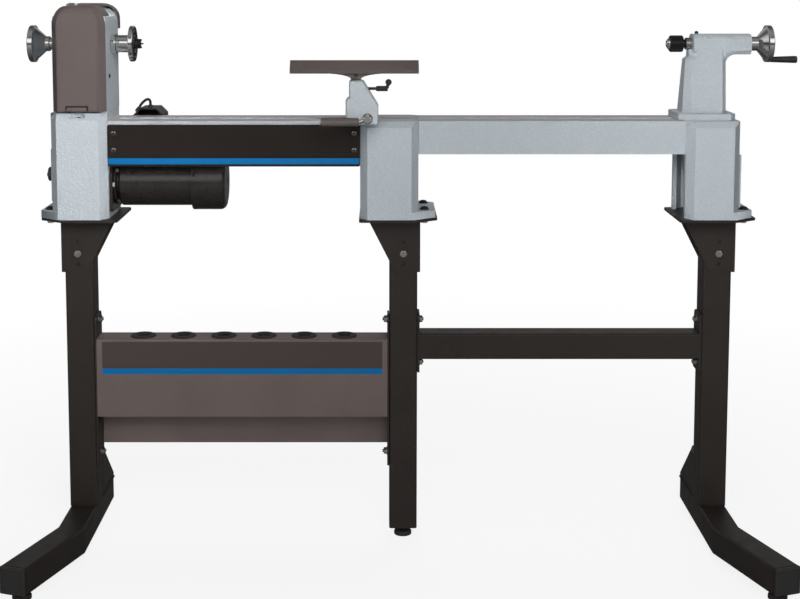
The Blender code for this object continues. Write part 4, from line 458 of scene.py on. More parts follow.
# %% [markdown]
# ## Plated and machined metal
# Turned metal is polished round its axis, so its fine marks run in rings.  A noise that
# is squeezed along X gives them for everything that turns on the spindle axis.

# %% Metals


def metal(name, colour, roughness, stretch, marks=0.05):
    """Bare or plated metal with marks along one direction."""
    made = new_finish(name, colour, Roughness=roughness, Metallic=1.0)
    lines = noise_of(made, 60, 4, stretch)
    wire(made, "Roughness", spread(made, lines, 0.3, 0.7, roughness, roughness + marks))
    wire(made, "Base Color", blended(made, spread(made, noise_of(made, 14, 2), 0.3, 0.7),
                                     shade(colour, 0.93), colour))
    bump(made, lines, 0.00002)
    return made


chrome = metal("polished_chrome", (0.80, 0.79, 0.78), 0.07, (30, 1, 1))
zinc = metal("zinc_plate", (0.60, 0.59, 0.57), 0.28, (6, 6, 6), 0.12)
black_nickel = metal("black_nickel_plate", (0.26, 0.25, 0.24), 0.18, (6, 6, 6), 0.10)
steel = metal("turned_steel", (0.52, 0.50, 0.48), 0.24, (30, 1, 1), 0.10)
post_steel = metal("turned_post_steel", (0.52, 0.50, 0.48), 0.24, (1, 1, 30), 0.10)
alloy = metal("turned_alloy", (0.66, 0.66, 0.66), 0.34, (30, 1, 1), 0.10)
print("6 metals")

# %% [markdown]
# The record gives every node a material slot.  Each slot gets its main finish here, and
# a table lists the slot that each added finish belongs to.

# %% Finish for every slot
finish_of = {
    "hammertone": enamel, "stand_paint": stand_paint, "shelf_paint": shelf_paint,
    "cover_plastic": cover_plastic, "panel_paint": panel_paint,
    "black_plastic": black_plastic, "black_paint": motor_paint, "rubber": rubber,
    "chrome": chrome, "zinc": zinc, "steel": steel, "alloy": alloy,
    "black_steel": black_oxide, "rest_paint": rest_paint,
}
slot_for = {finish.name: slot for slot, finish in finish_of.items()}
for finish, slot in ((way_enamel, "hammertone"), (belt_rubber, "rubber"),
                     (post_steel, "steel"), (grip_plastic, "black_plastic"),
                     (painted_shadow_finish, "cover_plastic"), (black_nickel, "black_steel")):
    slot_for[finish.name] = slot
special = {"bed_casting": way_enamel, "bed_extension": way_enamel,
           "drive_belt": belt_rubber, "tool_post": post_steel}
for node, piece in frame["nodes"].items():
    piece.data.materials.clear()
    piece.data.materials.append(special.get(node, finish_of[slot_of[node]]))
print(len(frame["nodes"]), "nodes painted")

# %% [markdown]
# ## Shaping tools
# Turned pieces are a profile swept round an axis, sheet and plate pieces are an outline
# pulled to a thickness, and cast pieces are stacks of outlines skinned together.  Each
# is drawn with X = 0 at the inner face of the headstock and moved into place at the end.

# %% Outlines


def arc(centre, radius, start, end, steps):
    """Points along an arc, angles in degrees."""
    return [(centre[0] + radius * math.cos(math.radians(start + (end - start) * k / steps)),
             centre[1] + radius * math.sin(math.radians(start + (end - start) * k / steps)))
            for k in range(steps + 1)]


def round_box(left, right, low, high, radius, steps=6):
    """Rectangle with round corners, as an outline."""
    centres = ((right - radius, low + radius), (right - radius, high - radius),
               (left + radius, high - radius), (left + radius, low + radius))
    return [point for k, centre in enumerate(centres)
            for point in arc(centre, radius, 90 * k - 90, 90 * k, steps)]


def hexagon(radius):
    turns = [math.radians(60 * k) for k in range(6)]
    return [(radius * math.cos(turn), radius * math.sin(turn)) for turn in turns]


def eased(points, radius, steps=3, closed=False, flat=172):
    """Round the corners of an outline or profile; short runs take what they can."""
    result = []
    count = len(points)
    for i, point in enumerate(points):
        reach = point[2] if len(point) > 2 else radius
        if reach <= 0 or (not closed and i in (0, count - 1)):
            result.append(tuple(point[:2]))
            continue
        here = Vector(point[:2])
        before = Vector(points[i - 1][:2]) - here
        after = Vector(points[(i + 1) % count][:2]) - here
        if before.length < 1e-7 or after.length < 1e-7:
            continue
        angle = before.angle(after)
        if angle > math.radians(flat):
            result.append(tuple(here))
            continue
        run = min(reach / math.tan(angle / 2), before.length * 0.48, after.length * 0.48)
        start, end = here + before.normalized() * run, here + after.normalized() * run
        for k in range(steps + 1):
            t = k / steps
            spot = start * (1 - t) ** 2 + here * 2 * t * (1 - t) + end * t ** 2
            result.append(tuple(spot))
    return result


print("outline tools ready")

# %% Solids
quarter = math.pi / 2
heading = {"+X": (0, quarter, 0), "-X": (0, -quarter, 0), "+Y": (-quarter, 0, 0),
           "-Y": (quarter, 0, 0), "+Z": (0, 0, 0), "-Z": (math.pi, 0, 0)}
axis_turn = {axis: Matrix.Rotation(x, 4, "X") @ Matrix.Rotation(y, 4, "Y")
             for axis, (x, y, _) in heading.items()}


def as_object(shape):
    """Object from a bmesh, with its faces turned outwards."""
    bmesh.ops.recalc_face_normals(shape, faces=shape.faces)
    mesh = bpy.data.meshes.new("shape")
    shape.to_mesh(mesh)
    shape.free()
    return place("shape", mesh)


def moved(target, at, turn=axis_turn["+Z"]):
    """Turn a piece and carry it to a point, in its mesh."""
    target.data.transform(Matrix.Translation(at) @ turn)
    return target


def turned(profile, at=(0, 0, 0), axis="+Z", sides=96, ring=False, soft=0):
    """Sweep (radius, station) points round an axis, their corners eased by soft."""
    shape = bmesh.new()
    rows = []
    for radius, station in eased(profile, soft, 3, ring):
        count = 1 if radius < 1e-6 else sides
        rows.append([shape.verts.new((radius * math.cos(2 * math.pi * i / sides),
                                      radius * math.sin(2 * math.pi * i / sides), station))
                     for i in range(count)])
    pairs = list(zip(rows, rows[1:])) + ([(rows[-1], rows[0])] if ring else [])
    for lower, upper in pairs:
        for i in range(sides):
            j = (i + 1) % sides
            corners = [lower[i % len(lower)], lower[j % len(lower)],
                       upper[j % len(upper)], upper[i % len(upper)]]
            unique = list(dict.fromkeys(corners))
            if len(unique) > 2:
                shape.faces.new(unique)
    return moved(as_object(shape), at, axis_turn[axis])


def rod(start, end, radius, sides=32, tip=None):
    """Cylinder or cone between two points."""
    way = Vector(end) - Vector(start)
    made = turned([(0, 0), (radius, 0), (radius if tip is None else tip, way.length),
                   (0, way.length)], sides=sides)
    return moved(made, start, way.to_track_quat("Z", "Y").to_matrix().to_4x4())


def ball(radius, at):
    turns = [math.pi * k / 16 for k in range(17)]
    return turned([(radius * math.sin(turn), radius * math.cos(turn)) for turn in turns],
                  at, sides=32)


def loft(rings):
    """Skin a stack of outlines with equal point counts, and close both ends."""
    shape = bmesh.new()
    rows = [[shape.verts.new(point) for point in ring] for ring in rings]
    count = len(rows[0])
    for lower, upper in zip(rows, rows[1:]):
        for i in range(count):
            j = (i + 1) % count
            shape.faces.new((lower[i], lower[j], upper[j], upper[i]))
    shape.faces.new(list(reversed(rows[0])))
    shape.faces.new(rows[-1])
    return as_object(shape)


def prism(outline, low, high, plane="XY"):
    """Outline pulled from low to high along the axis that the plane leaves out."""
    order = {"XY": lambda u, v, w: (u, v, w), "XZ": lambda u, v, w: (u, w, v),
             "YZ": lambda u, v, w: (w, u, v)}[plane]
    return loft([[order(u, v, w) for u, v in outline] for w in (low, high)])


def block(low, high):
    return prism([(low[0], low[1]), (high[0], low[1]), (high[0], high[1]),
                  (low[0], high[1])], low[2], high[2])


print("solid tools ready")

# %% Cutting and joining


def evaluated(target):
    """Apply a piece's modifiers and keep the result as its plain mesh."""
    bpy.context.view_layer.update()
    graph = bpy.context.evaluated_depsgraph_get()
    mesh = bpy.data.meshes.new_from_object(target.evaluated_get(graph))
    target.modifiers.clear()
    target.data = mesh


def boolean(target, operation, tools):
    """Cut, join or keep with exact Booleans, then throw the tools away."""
    for tool in tools:
        step = target.modifiers.new(operation, "BOOLEAN")
        step.operation = operation
        step.solver = "EXACT"
        step.object = tool
    evaluated(target)
    for tool in tools:
        bpy.data.objects.remove(tool, do_unlink=True)
    return target


def cut(target, *tools):
    return boolean(target, "DIFFERENCE", tools)


def join(target, *tools):
    return boolean(target, "UNION", tools)


print("cutting and joining ready")

# %% [markdown]
# ## Rounded edges
# No real edge is perfectly sharp, and the thin highlight on a rounded edge is what makes
# a solid look solid.  The tool bevels only edges above a length, so a 60 mm tube can have
# its wide corner while its bolt holes stay crisp.

# %% Edges and settling


def round_edges(target, width, steps=2, longer=0.0, angle=28):
    """Bevel the sharp edges that are longer than a length."""
    shape = bmesh.new()
    shape.from_mesh(target.data)
    bmesh.ops.remove_doubles(shape, verts=shape.verts, dist=0.00002)
    bmesh.ops.dissolve_limit(shape, angle_limit=math.radians(1.0), verts=shape.verts,
                             edges=shape.edges)
    sharp = [e for e in shape.edges if e.is_manifold and e.calc_length() > longer
             and e.calc_face_angle(0) > math.radians(angle)]
    if sharp:
        bmesh.ops.bevel(shape, geom=sharp, offset=width, offset_type="OFFSET",
                        segments=steps, profile=0.5, affect="EDGES", clamp_overlap=True)
    shape.to_mesh(target.data)
    shape.free()
    return target


def settle(target, name, finish, nodes=(), body="stand_and_bed", shift=True, angle=38):
    """Name a piece, move it into the frame, paint it and let it ride on a body."""
    if shift:
        moved(target, (head_x, 0, 0))
    target.name = name
    target.data.materials.clear()
    target.data.materials.append(finish)
    target.data.shade_smooth()
    target.data.set_sharp_from_angle(angle=math.radians(angle))
    level = target.modifiers.new("level", "WEIGHTED_NORMAL")
    level.keep_sharp = True
    evaluated(target)
    target.data.name = name
    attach(target, body)
    if nodes:
        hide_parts(*nodes)
    return target


def refined(node, width, steps=2, longer=0.0, angle=28):
    """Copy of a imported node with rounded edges, which then stands for the node."""
    source = frame["nodes"][node]
    twin = place(node + "_rounded", source.data.copy())
    round_edges(twin, width, steps, longer, angle)
    settle(twin, node + "_rounded", source.data.materials[0], [node], body_of[node], False)


print("edge tools ready")

# %% [markdown]
# ## Many from one
# Screws, nuts, ridges and grommets repeat.  One Geometry Nodes tree sets a template on
# every point of a carrier mesh, turned by the carrier's `turn` attribute, then realises
# the copies and paints them, and the result is kept as one plain mesh.

# %% Copy tree
copy_tree = bpy.data.node_groups.new("copies_on_points", "GeometryNodeTree")
for name, way, kind in (("Carrier", "INPUT", "Geometry"), ("Template", "INPUT", "Object"),
                        ("Size", "INPUT", "Float"), ("Finish", "INPUT", "Material"),
                        ("Copies", "OUTPUT", "Geometry")):
    copy_tree.interface.new_socket(name, in_out=way, socket_type="NodeSocket" + kind)
given = copy_tree.nodes.new("NodeGroupInput").outputs
spots = add(copy_tree, "GeometryNodeInstanceOnPoints", {
    "Points": given["Carrier"], "Scale": given["Size"],
    "Instance": add(copy_tree, "GeometryNodeObjectInfo", {"Object": given["Template"]},
                    "Geometry"),
    "Rotation": add(copy_tree, "GeometryNodeInputNamedAttribute", {"Name": "turn"},
                    "Attribute", data_type="FLOAT_VECTOR")})
real = add(copy_tree, "GeometryNodeRealizeInstances", {"Geometry": spots})
dressed = add(copy_tree, "GeometryNodeSetMaterial",
              {"Geometry": real, "Material": given["Finish"]})
add(copy_tree, "NodeGroupOutput", {"Copies": dressed})
socket_of = {item.name: item.identifier for item in copy_tree.interface.items_tree}


def copies(template, places, name, finish, nodes=(), body="stand_and_bed", shift=True):
    """Set a template at (point, Euler turn) places and settle them as one piece."""
    carrier = bpy.data.meshes.new(name)
    carrier.from_pydata([tuple(at) for at, _ in places], [], [])
    turns = carrier.attributes.new("turn", "FLOAT_VECTOR", "POINT")
    for i, (_, turn) in enumerate(places):
        turns.data[i].vector = turn
    made = place(name, carrier)
    step = made.modifiers.new("copies", "NODES")
    step.node_group = copy_tree
    for socket, value in (("Template", template), ("Size", 1.0), ("Finish", finish)):
        step[socket_of[socket]] = value
    evaluated(made)
    bpy.data.objects.remove(template, do_unlink=True)
    return settle(made, name, finish, nodes, body, shift)


print("copy tree:", list(socket_of))

# %% [markdown]
# ## Fasteners
# Every fastener is drawn once, pointing up.  A hex head is a hexagon whose corners are
# turned down to a 30 degree chamfer, a nut has a stub of thread standing out of it, a
# panel screw has a domed head with a cross cut into it, and a sole screw has a socket.

# %% Fastener templates


def hex_head(across, high, washer=0.0, washer_high=0.0, stub=0.0, stub_high=0.0):
    """Chamfered hexagon on an optional washer, with an optional thread stub."""
    corner = across / math.sqrt(3)
    top = washer_high + high
    head = prism(hexagon(corner), washer_high, top)
    crown = turned([(0, washer_high - 0.001), (corner * 1.02, washer_high - 0.001),
                    (corner * 1.02, top - corner * 0.12), (across / 2 * 0.94, top),
                    (0, top)], sides=36)
    boolean(head, "INTERSECT", [crown])
    extras = []
    if washer:
        extras.append(turned([(0, 0), (washer, 0), (washer, washer_high * 0.8),
                              (washer - 0.0003, washer_high + 0.0001),
                              (0, washer_high + 0.0001)], sides=36))
    if stub:
        rings = [(0, top - 0.001), (stub, top - 0.001)]
        turns = max(2, round(stub_high / 0.0011))
        for k in range(turns):
            low = top + stub_high * k / turns
            rings += [(stub, low), (stub * 0.86, low + stub_high / turns * 0.5)]
        rings += [(stub * 0.8, top + stub_high), (0, top + stub_high)]
        extras.append(turned(rings, sides=24))
    return join(head, *extras) if extras else head


def cross_screw(radius, high, slot=0.0012):
    """Domed head with a cross recess."""
    dome = turned([(0, 0), (radius, 0), (radius, high * 0.35), (radius * 0.86, high * 0.74),
                   (radius * 0.5, high * 0.96), (0, high)], sides=32)
    reach = radius * 0.62
    return cut(dome, block((-reach, -slot / 2, high * 0.35), (reach, slot / 2, high * 2)),
               block((-slot / 2, -reach, high * 0.35), (slot / 2, reach, high * 2)))


def button_screw(radius, high, key):
    """Low domed head with a hexagon socket."""
    dome = turned([(0, 0), (radius, 0), (radius * 0.99, high * 0.25),
                   (radius * 0.9, high * 0.62), (radius * 0.66, high * 0.9),
                   (radius * 0.45, high), (0, high)], sides=36)
    return cut(dome, prism(hexagon(key), high * 0.3, high * 2))


print("fasteners: hex head, cross screw, button screw")

# %% [markdown]
# ## Posts and splayed feet
# The stand is cut from square tube, so its corners are round: about 5 mm on a 60 mm
# tube.  Each foot is one tube with two mitred bends, drawn by carrying a rounded
# rectangle along the bend line.  A triangular gusset backs each outer post.

# %% Tube along a line


def tube_along(path, across, low, high, corner):
    """Rounded rectangle carried along a flat path with mitred bends."""
    section = round_box(-across / 2, across / 2, low, high, corner, 4)
    rings = []
    for i, point in enumerate(path):
        here = Vector(point)
        before = (here - Vector(path[i - 1])).normalized() if i else None
        after = (Vector(path[i + 1]) - here).normalized() if i + 1 < len(path) else None
        before, after = before or after, after or before
        mean = (before + after).normalized()
        side = Vector((-mean.y, mean.x)) / mean.dot(before)
        rings.append([(here.x + side.x * u, here.y + side.y * u, z) for u, z in section])
    return loft(rings)


post_half, post_corner = 0.030, 0.005
post_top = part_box("left_leg")[1].z
post_x = {"left": -0.074, "middle": 0.620, "right": 1.292}


def post_tube(x, low):
    outline = round_box(x - post_half, x + post_half, -post_half, post_half, post_corner)
    return prism(outline, low, post_top)


print("posts reach", round(post_top, 4), "m")

# %% Outer posts, feet and gussets
foot_low, foot_top, foot_wide, foot_corner = 0.0197, 0.075, 0.057, 0.0045
knee_y, toe_run, splay = 0.155, 0.210, math.radians(19.2)
gusset_thick, gusset_top, gusset_toe, gusset_nose = 0.005, 0.171, 0.083, 0.055
bead_spots = []
for side, way in (("left", -1), ("right", 1)):
    x = post_x[side]
    toe_x = x + way * math.sin(splay) * toe_run
    toe_y = knee_y + math.cos(splay) * toe_run
    settle(tube_along([(toe_x, toe_y), (x, knee_y), (x, -knee_y), (toe_x, -toe_y)],
                      foot_wide, foot_low, foot_top, foot_corner),
           side + "_foot_tube", stand_paint, [side + "_leg"])
    settle(post_tube(x, foot_top - 0.001), side + "_post_tube", stand_paint)
    near = x - way * post_half
    faces = sorted((near + way * 0.0002, near + way * (0.0002 + gusset_thick)))
    gusset = prism([(post_half - 0.001, foot_top - 0.001),
                    (knee_y + 0.002, foot_top - 0.001), (knee_y + 0.002, gusset_toe),
                    (gusset_nose, gusset_top), (post_half - 0.001, gusset_top)],
                   *faces, "YZ")
    settle(round_edges(gusset, 0.0008), side + "_gusset", stand_paint)
    bead_spots += [((x - 0.0265 + 0.0033 * k, y, foot_top + 0.0004), (0, 0, 0))
                   for y in (-post_half - 0.0008, post_half + 0.0008) for k in range(17)]
    bead_spots += [((near - way * 0.0006, post_half + 0.004 + k / 21 * 0.118,
                     foot_top + 0.0002), (0, 0, 0)) for k in range(22)]
settle(round_edges(post_tube(post_x["middle"], 0.0225), 0.0012), "middle_post_tube",
       stand_paint, ["middle_leg"])
bead = turned([(0, -0.0018), (0.0022, -0.0009), (0.0028, 0.0002), (0.0018, 0.0014),
               (0, 0.0018)], sides=10)
copies(bead, bead_spots, "weld_beads", stand_paint)
print(len(bead_spots), "weld beads")

# %% [markdown]
# ## End caps, levelling feet and brackets
# A moulded cap closes each open tube.  Under the stand, a rubber pad with a jam nut and
# a threaded stud takes up an uneven floor.  The top brackets are folded and welded plate.

# %% Caps, levelling feet, brackets
for node in ("left_front_end_cap", "left_rear_end_cap", "right_front_end_cap",
             "right_rear_end_cap"):
    refined(node, 0.0012)
foot_nodes = [n for n in frame["nodes"] if n.endswith("leveling_foot")]
foot_boxes = [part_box(node) for node in foot_nodes]
foot_spots = [(((low.x + high.x) / 2 - head_x, (low.y + high.y) / 2, 0), (0, 0, 0))
              for low, high in foot_boxes]
pitch, crest, root = 0.0011, 0.0040, 0.0034
thread = [(radius, 0.044 - pitch * k - drop) for k in range(22)
          for radius, drop in ((crest, 0.0), (root, pitch / 2))]
stud = turned([(0, 0.010), (root, 0.010), *thread[::-1], (root, 0.0446), (0, 0.0446)],
              sides=20)
pad = turned([(0, 0), (0.019, 0), (0.019, 0.007), (0.0165, 0.010), (0.0078, 0.0112),
              (0.0072, 0.0122), (0, 0.0122)], sides=48, soft=0.0012)
join(pad, moved(hex_head(0.013, 0.0062), (0, 0, 0.0125)), stud)
copies(pad, foot_spots, "leveling_feet", rubber, foot_nodes)
for node in ("left_bracket", "middle_bracket", "right_bracket"):
    refined(node, 0.0011, 2, 0.004)
bolt_face, bolt_z = 0.0343, 0.631
nuts = hex_head(0.0134, 0.0070, stub=0.0040, stub_high=0.0036)
copies(nuts, [((x, -bolt_face, bolt_z), heading["-Y"]) for x in post_x.values()],
       "post_bolt_nuts", zinc, [side + "_post_bolt" for side in post_x])
heads = hex_head(0.0134, 0.0055)
copies(heads, [((x, bolt_face, bolt_z), heading["+Y"]) for x in post_x.values()],
       "post_bolt_heads", zinc)
print(len(foot_nodes), "levelling feet,", len(post_x), "post bolts")

# %% [markdown]
# ## Cross rail
# A square tube with a welded flange at each end ties the middle and right posts.  Four
# bolts hold it, their heads on washers inside the flanges.  The tool shelf is held the
# same way, so one helper makes the plates and bolts of both.

# %% Bolted ends
post_gap = 0.0003


def bolted_ends(part, plate, left, right, thick, edge, corners, bolt_heights, head_high,
                stub_high):
    """The two plates at a part's ends, and the four bolts that hold them to the posts."""
    front, rear, low, high = corners
    outline = eased([(front, low, 0.004), (rear, low, 0.004), (rear, high, 0.014),
                     (front, high, 0.014)], 0.01, 6, True)
    for side, near in (("left", left), ("right", right - thick)):
        welded = round_edges(prism(outline, near, near + thick, "YZ"), edge)
        settle(welded, f"{part}_{side}_{plate}", stand_paint)
    head = hex_head(0.0130, head_high, washer=0.0086, washer_high=0.0013, stub=0.0038,
                    stub_high=stub_high)
    copies(head, [((x, 0, z), heading[axis]) for z in bolt_heights
                  for axis, x in (("+X", left + thick), ("-X", right - thick))],
           part + "_bolts", zinc)


print("plate and bolt helper ready")

# %% Cross rail
rail_left = post_x["middle"] + post_half + post_gap
rail_right = post_x["right"] - post_half - post_gap
rail = prism(round_box(-0.028, 0.028, 0.3983, 0.4548, 0.0045), rail_left + 0.004,
             rail_right - 0.004, "YZ")
settle(rail, "cross_rail_tube", stand_paint, ["cross_rail"])
bolted_ends("rail", "flange", rail_left, rail_right, thick=0.005, edge=0.0007,
            corners=(-0.028, 0.028, 0.369, 0.499), bolt_heights=(0.4813, 0.3869),
            head_high=0.0056, stub_high=0.0022)
print("rail", round(rail_right - rail_left, 4), "m long")

# %% [markdown]
# ## Tool shelf
# The shelf is one folded sheet, deeper at the back than at the front, so a dark strip of
# the rear sheet shows below the front.  Its folds have a bend radius.  Six rubber
# grommets line the holes that hold the turning tools.

# %% Folded shelf
sheet, fold = 0.002, 0.0042
front, rear, top = shelf_front, 0.034, 0.4436
front_low, rear_low = 0.273, 0.195
outer = ([(front, front_low)] + arc((front + fold, top - fold), fold, 180, 90, 6)
         + arc((rear - fold, top - fold), fold, 90, 0, 6) + [(rear, rear_low)])
inner = ([(rear - sheet, rear_low)]
         + arc((rear - fold, top - fold), fold - sheet, 0, 90, 6)
         + arc((front + fold, top - fold), fold - sheet, 90, 180, 6)
         + [(front + sheet, front_low)])
shelf_left = post_x["left"] + post_half + post_gap
shelf_right = post_x["middle"] - post_half - post_gap
shelf = prism(outer + inner, shelf_left + 0.0038, shelf_right - 0.0038, "YZ")
hole_x = [0.0568 + 0.0871 * k for k in range(6)]
cut(shelf, *[rod((x, 0, top - 0.02), (x, 0, top + 0.02), 0.0235, 48) for x in hole_x])
settle(shelf, "shelf_folded_sheet", shelf_paint, ["tool_shelf"])
bolted_ends("shelf", "end_plate", shelf_left, shelf_right, thick=0.004, edge=0.0006,
            corners=(-0.030, rear - 0.001, 0.163, 0.4945),
            bolt_heights=(0.4813, 0.1874), head_high=0.0062, stub_high=0.0028)
print("shelf sheet", round(shelf_right - shelf_left, 4), "m long")

# %% Grommets
grommet = turned([(0.0143, 0.0022), (0.0165, 0.0036), (0.0245, 0.0036), (0.0277, 0.0010),
                  (0.0277, -0.0001), (0.0233, -0.0002), (0.0233, -0.0022),
                  (0.0258, -0.0026), (0.0240, -0.0082), (0.0143, -0.0082)],
                 sides=64, ring=True, soft=0.0012)
copies(grommet, [((x, 0, top), (0, 0, 0)) for x in hole_x], "shelf_grommets", rubber)
print(len(hole_x), "grommets")

# %% [markdown]
# ## Bed castings
# The main bed carries the headstock pedestal and the middle pedestal, and the extension
# bolts to its end.  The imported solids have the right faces, so they are copied, their
# long edges rounded as sand casting leaves them, and painted.

# %% Castings
refined("bed_casting", 0.0024, 3, 0.020)
refined("bed_extension", 0.0024, 3, 0.020)
sole_top, sole_bolt_y = 0.7283, 0.043
sole_spots = [((x, y, sole_top), (0, 0, 0)) for x in (-0.1285, 0.6640, 1.3405)
              for y in (-sole_bolt_y, sole_bolt_y)]
washer = turned([(0, 0), (0.0104, 0), (0.0104, 0.0014), (0, 0.0014)], sides=40, soft=0.0003)
sole_screw = join(moved(button_screw(0.0086, 0.0052, 0.0029), (0, 0, 0.0012)), washer)
copies(sole_screw, sole_spots, "sole_screws", black_oxide)
print(len(sole_spots), "sole screws")

# %% [markdown]
# ## Bed panel and side door
# A painted panel closes the front of the bed and carries the blue stripe.  Four cross
# screws hold it.  The door at the headstock end lets the belt be moved, and a
# quarter-turn knob keeps it shut.

# %% Panel and door
refined("bed_panel", 0.0020, 3, 0.020)
panel_spots = [((x, panel_low.y + 0.0027, z), heading["-Y"]) for x in (0.014, 0.516)
               for z in (0.893, 0.858)]
copies(cross_screw(0.0063, 0.0040, 0.0014), panel_spots, "panel_screws", black_nickel)
refined("side_door", 0.0010, 2, 0.006)
knob_x, knob_y, knob_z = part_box("door_knob")[0].x - head_x, -0.040, 0.8035
tongue_left, tongue_right = -0.1048, -0.1018
door_knob = turned([(0, 0), (0.015, 0), (0.015, 0.0074), (0.0128, 0.0092), (0, 0.0092)],
                   sides=64, soft=0.0012)
grip = prism(round_box(-0.0036, 0.0036, -0.0118, 0.0118, 0.0034), 0.0075, 0.0105)
round_edges(join(door_knob, grip), 0.0005)
moved(door_knob, (knob_x + 0.0105, knob_y, knob_z), axis_turn["-X"])
stem = rod((knob_x + 0.0095, knob_y, knob_z), (-0.1030, knob_y, knob_z), 0.0038)
tongue = block((tongue_left, knob_y - 0.005, knob_z - 0.005),
               (tongue_right, knob_y + 0.005, knob_z + 0.0145))
join(door_knob, stem, tongue)
settle(door_knob, "door_knob_grip", black_plastic, ["door_knob"], "door_latch")
print("panel, door and knob")

# %% [markdown]
# ## Headstock and belt cover
# The headstock is a hollow casting, open at the front.  A moulded cover hinges over its
# front and top.  The cover is a stack of outlines that close in towards the top, which
# gives the soft shoulder, then it is hollowed and stepped to fit over the casting.

# %% Headstock casting
refined("headstock", 0.0020, 3, 0.015)
copies(cross_screw(0.0046, 0.0026, 0.0011), [((0, -0.037, 1.011), heading["+X"])],
       "headstock_side_screw", black_oxide)
refined("rear_cover", 0.0016, 3, 0.010)
print("headstock and rear cover")

# %% Belt cover
cover_left, cover_front, cover_back = -0.112, -0.090, -0.0038
cover_low, cover_top, wall = 0.940, 1.1585, 0.003
cover_round, cover_drop = 0.030, 0.044
front_share, bevel_x, bevel_y = 0.6, 0.0130, 0.022


def cover_outline(inset, z, thin, back):
    """Plan of the cover at one height; the two bevels stay soft."""
    left, right = cover_left + inset + thin, -inset - thin
    front = cover_front + thin + inset * front_share
    side = bevel_y - inset * front_share
    corners = [(left + bevel_x, front, 0.005), (right - bevel_x, front, 0.005),
               (right, front + side, 0.005), (right, back, 0), (left, back, 0),
               (left, front + side, 0.005)]
    return [(x, y, z) for x, y in eased(corners, 0.005, 4, True, 181)]


def cover_form(thin, low, back, steps=12):
    """Solid of the cover, thinner by a wall all round for its hollow."""
    radius, drop = cover_round - thin, cover_drop - thin
    rings = [cover_outline(0, low, thin, back)]
    for k in range(steps + 1):
        angle = math.pi / 2 * k / steps
        rings.append(cover_outline(radius * (1 - math.cos(angle)),
                                   cover_top - cover_drop + drop * math.sin(angle),
                                   thin, back))
    return loft(rings)


cover = cover_form(0, cover_low, cover_back)
cut(cover, block((-0.128, -0.0683, 0.930), (0.010, 0.010, 1.1368)))
cut(cover, cover_form(wall, cover_low + wall, cover_back + 0.010))
finger_tab = round_edges(block((-0.0790, -0.0938, 0.9402), (-0.0375, -0.0890, 0.9490)),
                         0.0014, 3)
lug_left, lug_right, hinge_z = -0.090, -0.0775, 1.160
lug = block((lug_left, -0.0158, 1.1566), (lug_right, 0, hinge_z))
barrel = rod((lug_left, 0, hinge_z), (lug_right, 0, hinge_z), 0.0035)
join(cover, finger_tab, lug, barrel)
cut(cover, rod((-0.100, 0, hinge_z), (-0.070, 0, hinge_z), 0.0019, 20))
round_edges(cover, 0.0007, 2, 0.006, 40)
settle(cover, "belt_cover_moulding", cover_plastic, ["belt_cover"], "cover", angle=50)
# A thin near-black block round the finger tab is painted shadow: it stands in for the shade
# of a gap there and is no real part.
painted_finger_shadow = block((-0.0820, -0.0912, 0.9403), (-0.0345, -0.0890, 0.9520))
settle(round_edges(painted_finger_shadow, 0.0005), "belt_cover_finger_gap", painted_shadow_finish, body="cover")
print("cover", round((cover_top - cover_low) * 1000), "mm high")

# %% [markdown]
# ## Spindle, faceplate and drive centre
# Everything on the spindle axis is turned, so each piece is one profile swept round it.
# Small radii on the profile's corners carry the bright rings that turned steel shows.

# %% Spindle and faceplate
spindle_at, motor_at = (0, 0, spindle_z), (0, 0, motor_z)


def on_spindle(profile, name, finish, nodes, body="spindle_group", soft=0.0004, ring=False,
               sides=96, at=spindle_at):
    """Turned piece on the spindle axis, or on another axis along the bed."""
    settle(turned(profile, at, "+X", sides, ring, soft), name, finish, nodes, body)


on_spindle([(0, 0.005), (0.0075, 0.005), (0.0075, 0.040), (0.0127, 0.040),
            (0.0127, 0.0110), (0.02085, 0.0110), (0.02085, 0.0004), (0.0125, 0.0004),
            (0.0125, -0.1307), (0.010, -0.1307), (0.010, -0.165), (0, -0.165)],
           "spindle_turned", chrome, ["spindle"], soft=0.0006)
on_spindle([(0.013, 0.049), (0.0172, 0.049), (0.0178, 0.0484), (0.0184, 0.049),
            (0.0284, 0.049), (0.0289, 0.0485), (0.0294, 0.049), (0.0366, 0.049),
            (0.0381, 0.0475), (0.0381, 0.0405), (0.0366, 0.039), (0.0160, 0.039),
            (0.0160, 0.037), (0.0183, 0.037), (0.0183, 0.0113), (0.013, 0.0113)],
           "faceplate_turned", chrome, ["faceplate"], soft=0.0005, ring=True)
print("spindle and faceplate")

# %% Drive centre and set screws
centre = turned([(0, 0.068), (0.0004, 0.0676), (0.0018, 0.065), (0.0018, 0.059),
                 (0.0097, 0.059), (0.0105, 0.0582), (0.0105, 0.0425), (0.0099, 0.0412),
                 (0.0072, 0.041), (0.0072, 0.0053), (0, 0.0053)], spindle_at, "+X", 64)
prong = [(0.0585, -0.0100), (0.0585, 0.0100), (0.0625, 0.0100), (0.0640, 0.0086),
         (0.0618, 0.0030), (0.0618, -0.0030), (0.0640, -0.0086), (0.0625, -0.0100)]
prong_half = 0.0012
join(centre, prism(prong, spindle_z - prong_half, spindle_z + prong_half),
     prism([(x, spindle_z + z) for x, z in prong], -prong_half, prong_half, "XZ"))
settle(centre, "drive_centre", black_oxide, ["spur_center"], "spindle_group")


def round_axis(x, radius, z, degrees):
    """Places round an axis along the bed, each turned to point away from it."""
    turns = [math.radians(angle) for angle in degrees]
    return [((x, -radius * math.cos(turn), z + radius * math.sin(turn)),
             (quarter - turn, 0, 0)) for turn in turns]


